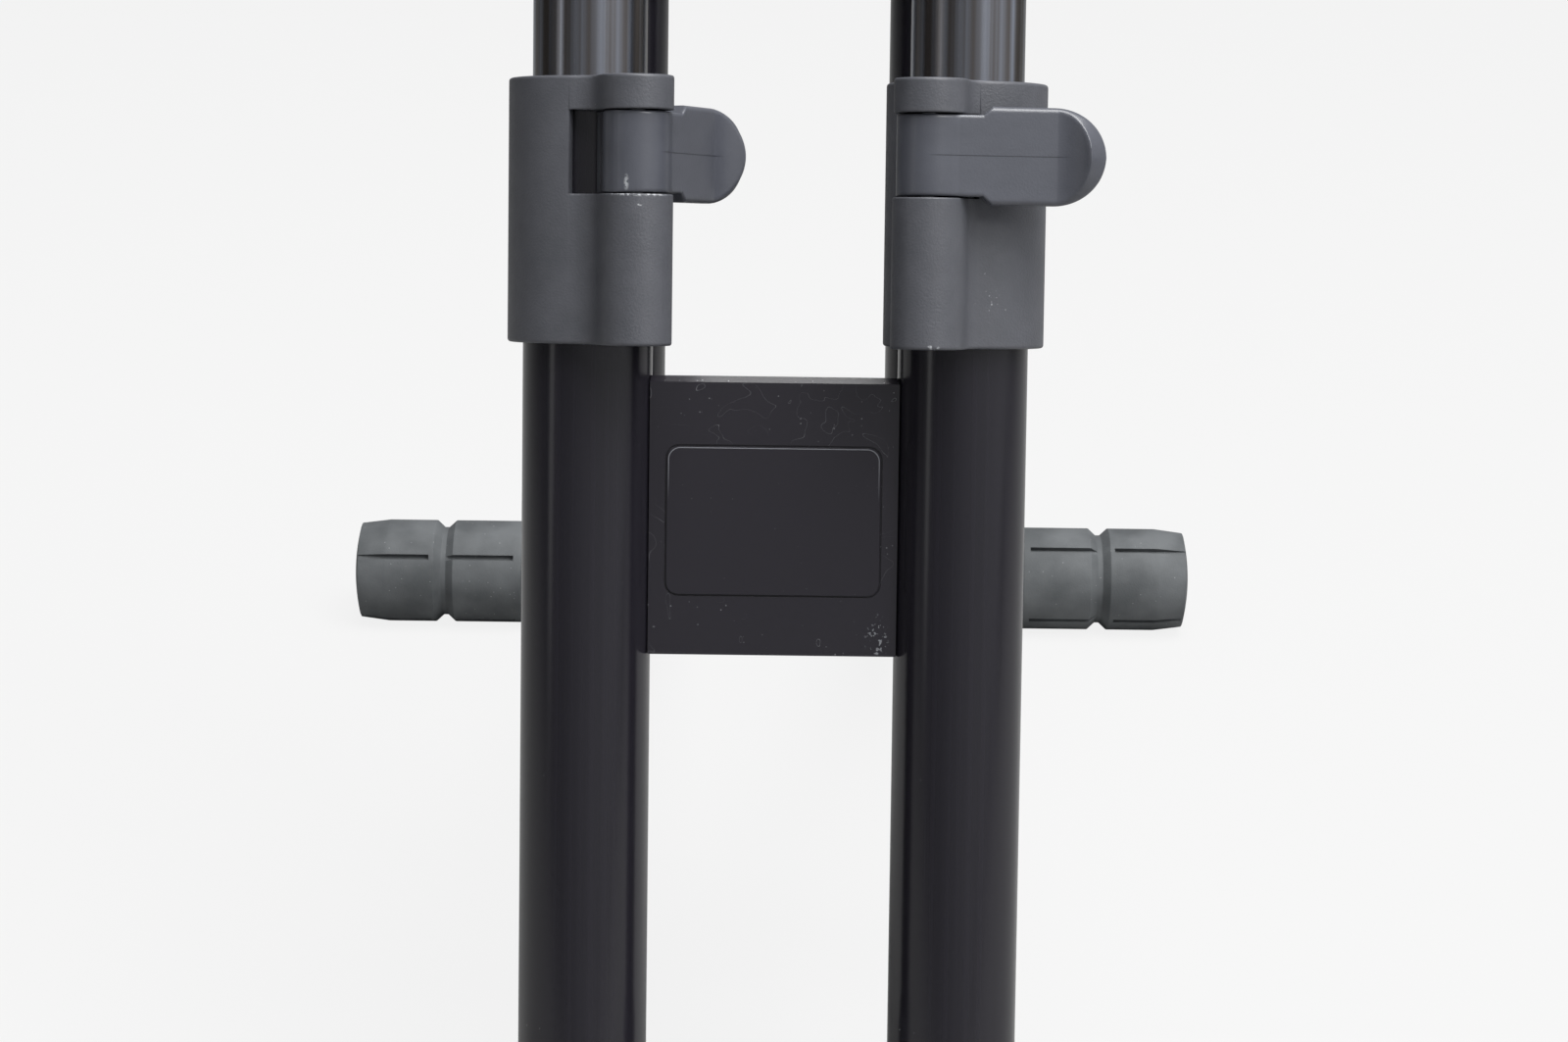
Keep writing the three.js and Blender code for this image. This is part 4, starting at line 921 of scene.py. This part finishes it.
def cap_shell(first_slot):
    """A cap on Z with its mouth at zero, open towards the bar. Its outline gets extra heights for the slots and is
    carried round, drawn down to the slots' flat floors where a slot runs, and pressed flat under the sole's plane,
    which lies towards minus Y."""
    middle, groove_floor = (groove_from + groove_to) / 2, cap_radius - groove_depth
    end = cap_length - end_bulge
    crown = np.linspace(1, 0, 14)
    outline = rounded([(0, cap_length - cap_wall), (cap_bore, cap_length - cap_wall), (cap_bore, 0),
                       (cap_radius, 0), (cap_radius, groove_from), (groove_floor, middle - groove_flat / 2),
                       (groove_floor, middle + groove_flat / 2), (cap_radius, groove_to),
                       (cap_radius, end - end_draw), (cap_radius - end_drop, end)],
                      [0, 0.5, 0.4, 0.8, 0.5, 0.5, 0.5, 0.5, 6.0, 0.0])
    first = (outline[:, 0] > cap_bore + 0.05).argmax()
    skin = outline[first:]
    slot_stops = [stop - step for stop in (slot_margin, groove_to + slot_margin / 2) for step in (0.02, 0)]
    rise = np.unique(np.round(np.concatenate([
        skin[:, 1], np.linspace(1, slot_margin - 0.3, 12), np.linspace(slot_margin, groove_from, 12),
        np.linspace(groove_to, end, 40), slot_stops]), 4))
    rise = rise[rise > skin[skin[:, 1].argmin() + 4, 1] + 1.0]
    order = 4 + np.argsort(skin[4:, 1])
    mouth = skin[skin[:, 1] < rise[0] - 0.01]
    body = np.concatenate([mouth, np.stack([np.interp(rise, skin[order, 1], skin[order, 0]), rise], -1)])
    bulge = np.stack([crown * (cap_radius - end_drop), end + end_bulge * (1 - crown ** 2)], -1)
    outline = np.concatenate([outline[:first], body, bulge[1:]])
    side_step = math.asin(slot_half / cap_radius)
    across_slot = side_step * np.array([-1.35, -1.12, -1.0, -0.96, 0, 0.96, 1.0, 1.12, 1.35])
    slot_turns = first_slot + np.arange(4)[:, None] * np.pi / 2 + across_slot
    turn = np.concatenate([np.linspace(0, 2 * np.pi, 288, endpoint=False), slot_turns.ravel()])
    turn = np.unique(np.round(turn % (2 * np.pi), 5))
    radius, height = np.broadcast_arrays(outline[None, :, 0], outline[None, :, 1] + 0 * turn[:, None])
    off_slot = (turn - first_slot + np.pi / 4) % (np.pi / 2) - np.pi / 4
    in_slot = (np.abs(off_slot) <= side_step * 0.97)[:, None]
    along = ((height >= slot_margin) & (height <= middle)) | (height >= groove_to + slot_margin / 2)
    skin_side = np.arange(len(outline)) >= first
    sunk = np.minimum(radius, slot_floor / np.cos(off_slot)[:, None])
    radius = np.where(in_slot & along & skin_side, sunk, radius)
    x, y = radius * np.sin(turn)[:, None], -radius * np.cos(turn)[:, None]
    y = np.maximum(y, sole_cut - cap_radius)
    return np.stack([x, y, height], -1)


for end, foot, body in feet:
    for side, sign in sides:
        shell = along_x(cap_shell(math.radians(slot_angle)), sign) + (sign * cap_inner, 0, 0)
        make_piece(f"{side}_{end}_rubber_cap", [(shell, True)], lambda p, foot=foot: foot + p * millimetre,
                   cap_rubber, body, [f"{side}_{end}_cap"])

# Tees and leg knuckles
# Nylon mouldings. A tee holds the end of an upright or a leg over its foot bar with one screw from behind, and a
# knuckle turns on the hinge bolt and plugs into the leg's upper end.
tee_half, tee_bore, tee_outside = 18.0, 13.0, 14.6
socket_floor, socket_mouth, socket_wall, tee_lift = 16.0, 28.5, 2.7, 22.25
front_socket, rear_socket = 13.0, 11.4
front_tee_seat, front_tee_shank, rear_tee_seat, rear_tee_shank = 16.0, 4.4, 14.4, 4.7
knuckle_spigot, knuckle_shoulder, knuckle_length = 9.3, 13.2, 39.5


def saddled(outside, hole, top, steps=120):
    """A round piece on Z whose foot fits a hole along X: the foot's height is the root of the hole's radius squared
    less Y squared, and zero past the hole. Its top is an outline from the axis out to the outside."""
    turn = np.linspace(0, 2 * np.pi, steps, endpoint=False)
    radius = np.linspace(outside, 0, 16)
    foot = np.sqrt(np.maximum(hole ** 2 - (radius[None, :] * np.cos(turn)[:, None]) ** 2, 0)) + seam_lap
    lower = np.stack([np.broadcast_to(radius, foot.shape), foot], -1)
    upper = np.broadcast_to(np.asarray(top, float), (steps, len(top), 2))
    return round_tube(turn, np.concatenate([lower, upper], 1))


def tee_shells(bore):
    """A saddle pipe on the bar and a socket with its floor, both with rounded edges."""
    outside = bore + socket_wall
    pipe = turned(pipe_outline(tee_outside, tee_bore, -tee_half, tee_half, 0.7))
    rim = rounded([(0, 0), (0, socket_floor), (bore, socket_floor), (bore, socket_mouth), (outside, socket_mouth),
                   (outside, 0)], [0, 0, 0.3, 0.4, 0.7, 0])[5:-5]
    return [(along_x(pipe, 1), True), (saddled(outside, tee_bore, rim), True)]


hinge = in_lean(np.array([0, hinge_back, hinge_rise]))
along_leg = (rear_foot - hinge) / np.linalg.norm(rear_foot - hinge)
above_leg = np.cross(across_stand, along_leg)


def in_leg(points):
    """Places points in millimetres of the leg's frame, with Y from hinge to foot, into the world in metres."""
    points = np.asarray(points, float) * millimetre
    return hinge + points[..., 0:1] * across_stand + points[..., 1:2] * along_leg + points[..., 2:3] * above_leg


leg_length, leg_radius, leg_wall, leg_start, leg_end = 249.3, 11.1, 1.5, 13.5, 233.0
leg = turned(pipe_outline(leg_radius, leg_radius - leg_wall, leg_start, leg_end, tube_edge))
knuckle_top = rounded([(0, 0), (0, knuckle_length), (knuckle_spigot, knuckle_length),
                       (knuckle_spigot, knuckle_shoulder), (leg_radius, knuckle_shoulder), (leg_radius, 0)],
                      [0, 0, 0.8, 0.1, 0.3, 0])[5:-5]
knuckle_barrel = turned(pipe_outline(leg_radius, bolt_hole, -leg_radius, leg_radius, 0.5))


def on_leg(points):
    """Turns points made on Z so that Z runs along the leg, or straight back in the leaning frame."""
    return points[..., [0, 2, 1]] * (1, 1, -1)


def at_foot(points):
    """Turns points of a tee so that its socket opens towards the hinge, with the tee on the rear foot's axis."""
    return points[..., [0, 2, 1]] * (1, -1, 1) + (0, leg_length, 0)


for side, sign in sides:
    x = sign * half_spacing
    front_tee = [(grid + (x, 0, 0), closes) for grid, closes in tee_shells(front_socket)]
    rear_tee = [(at_foot(grid) + (x, 0, 0), closes) for grid, closes in tee_shells(rear_socket)]
    front_screw = [(on_leg(grid) + (x, front_tee_seat, tee_lift), closes)
                   for grid, closes in pan_head(front_tee_shank)]
    rear_screw = [(at_foot(on_leg(grid) + (0, rear_tee_seat, tee_lift)) + (x, 0, 0), closes)
                  for grid, closes in pan_head(rear_tee_shank)]
    knuckle = [(along_x(knuckle_barrel, 1) + (x, 0, 0), True),
               (on_leg(saddled(leg_radius, bolt_hole, knuckle_top)) + (x, 0, 0), True)]
    make_piece(f"{side}_front_moulded_tee", front_tee, in_lean, satin_nylon, "base",
               [f"{side}_front_tee"])
    make_piece(f"{side}_rear_moulded_tee", rear_tee, in_leg, satin_nylon, "rear_leg",
               [f"{side}_rear_tee"])
    make_piece(f"{side}_front_tee_pan_screw", front_screw, in_lean, zinc, "base",
               [f"{side}_front_tee_screw"])
    make_piece(f"{side}_rear_tee_pan_screw", rear_screw, in_leg, zinc, "rear_leg",
               [f"{side}_rear_tee_screw"])
    make_piece(f"{side}_enamelled_leg", [(leg, True)], lambda p, x=x: in_leg(on_leg(p) + (x, 0, 0)), tube_paint,
               "rear_leg", [f"{side}_rear_leg"])
    make_piece(f"{side}_moulded_knuckle", knuckle, in_leg, satin_nylon, "rear_leg",
               [f"{side}_leg_knuckle"])

size = {"cad": [list(corner) for corner in cad_box], "visual": [list(corner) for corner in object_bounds()]}
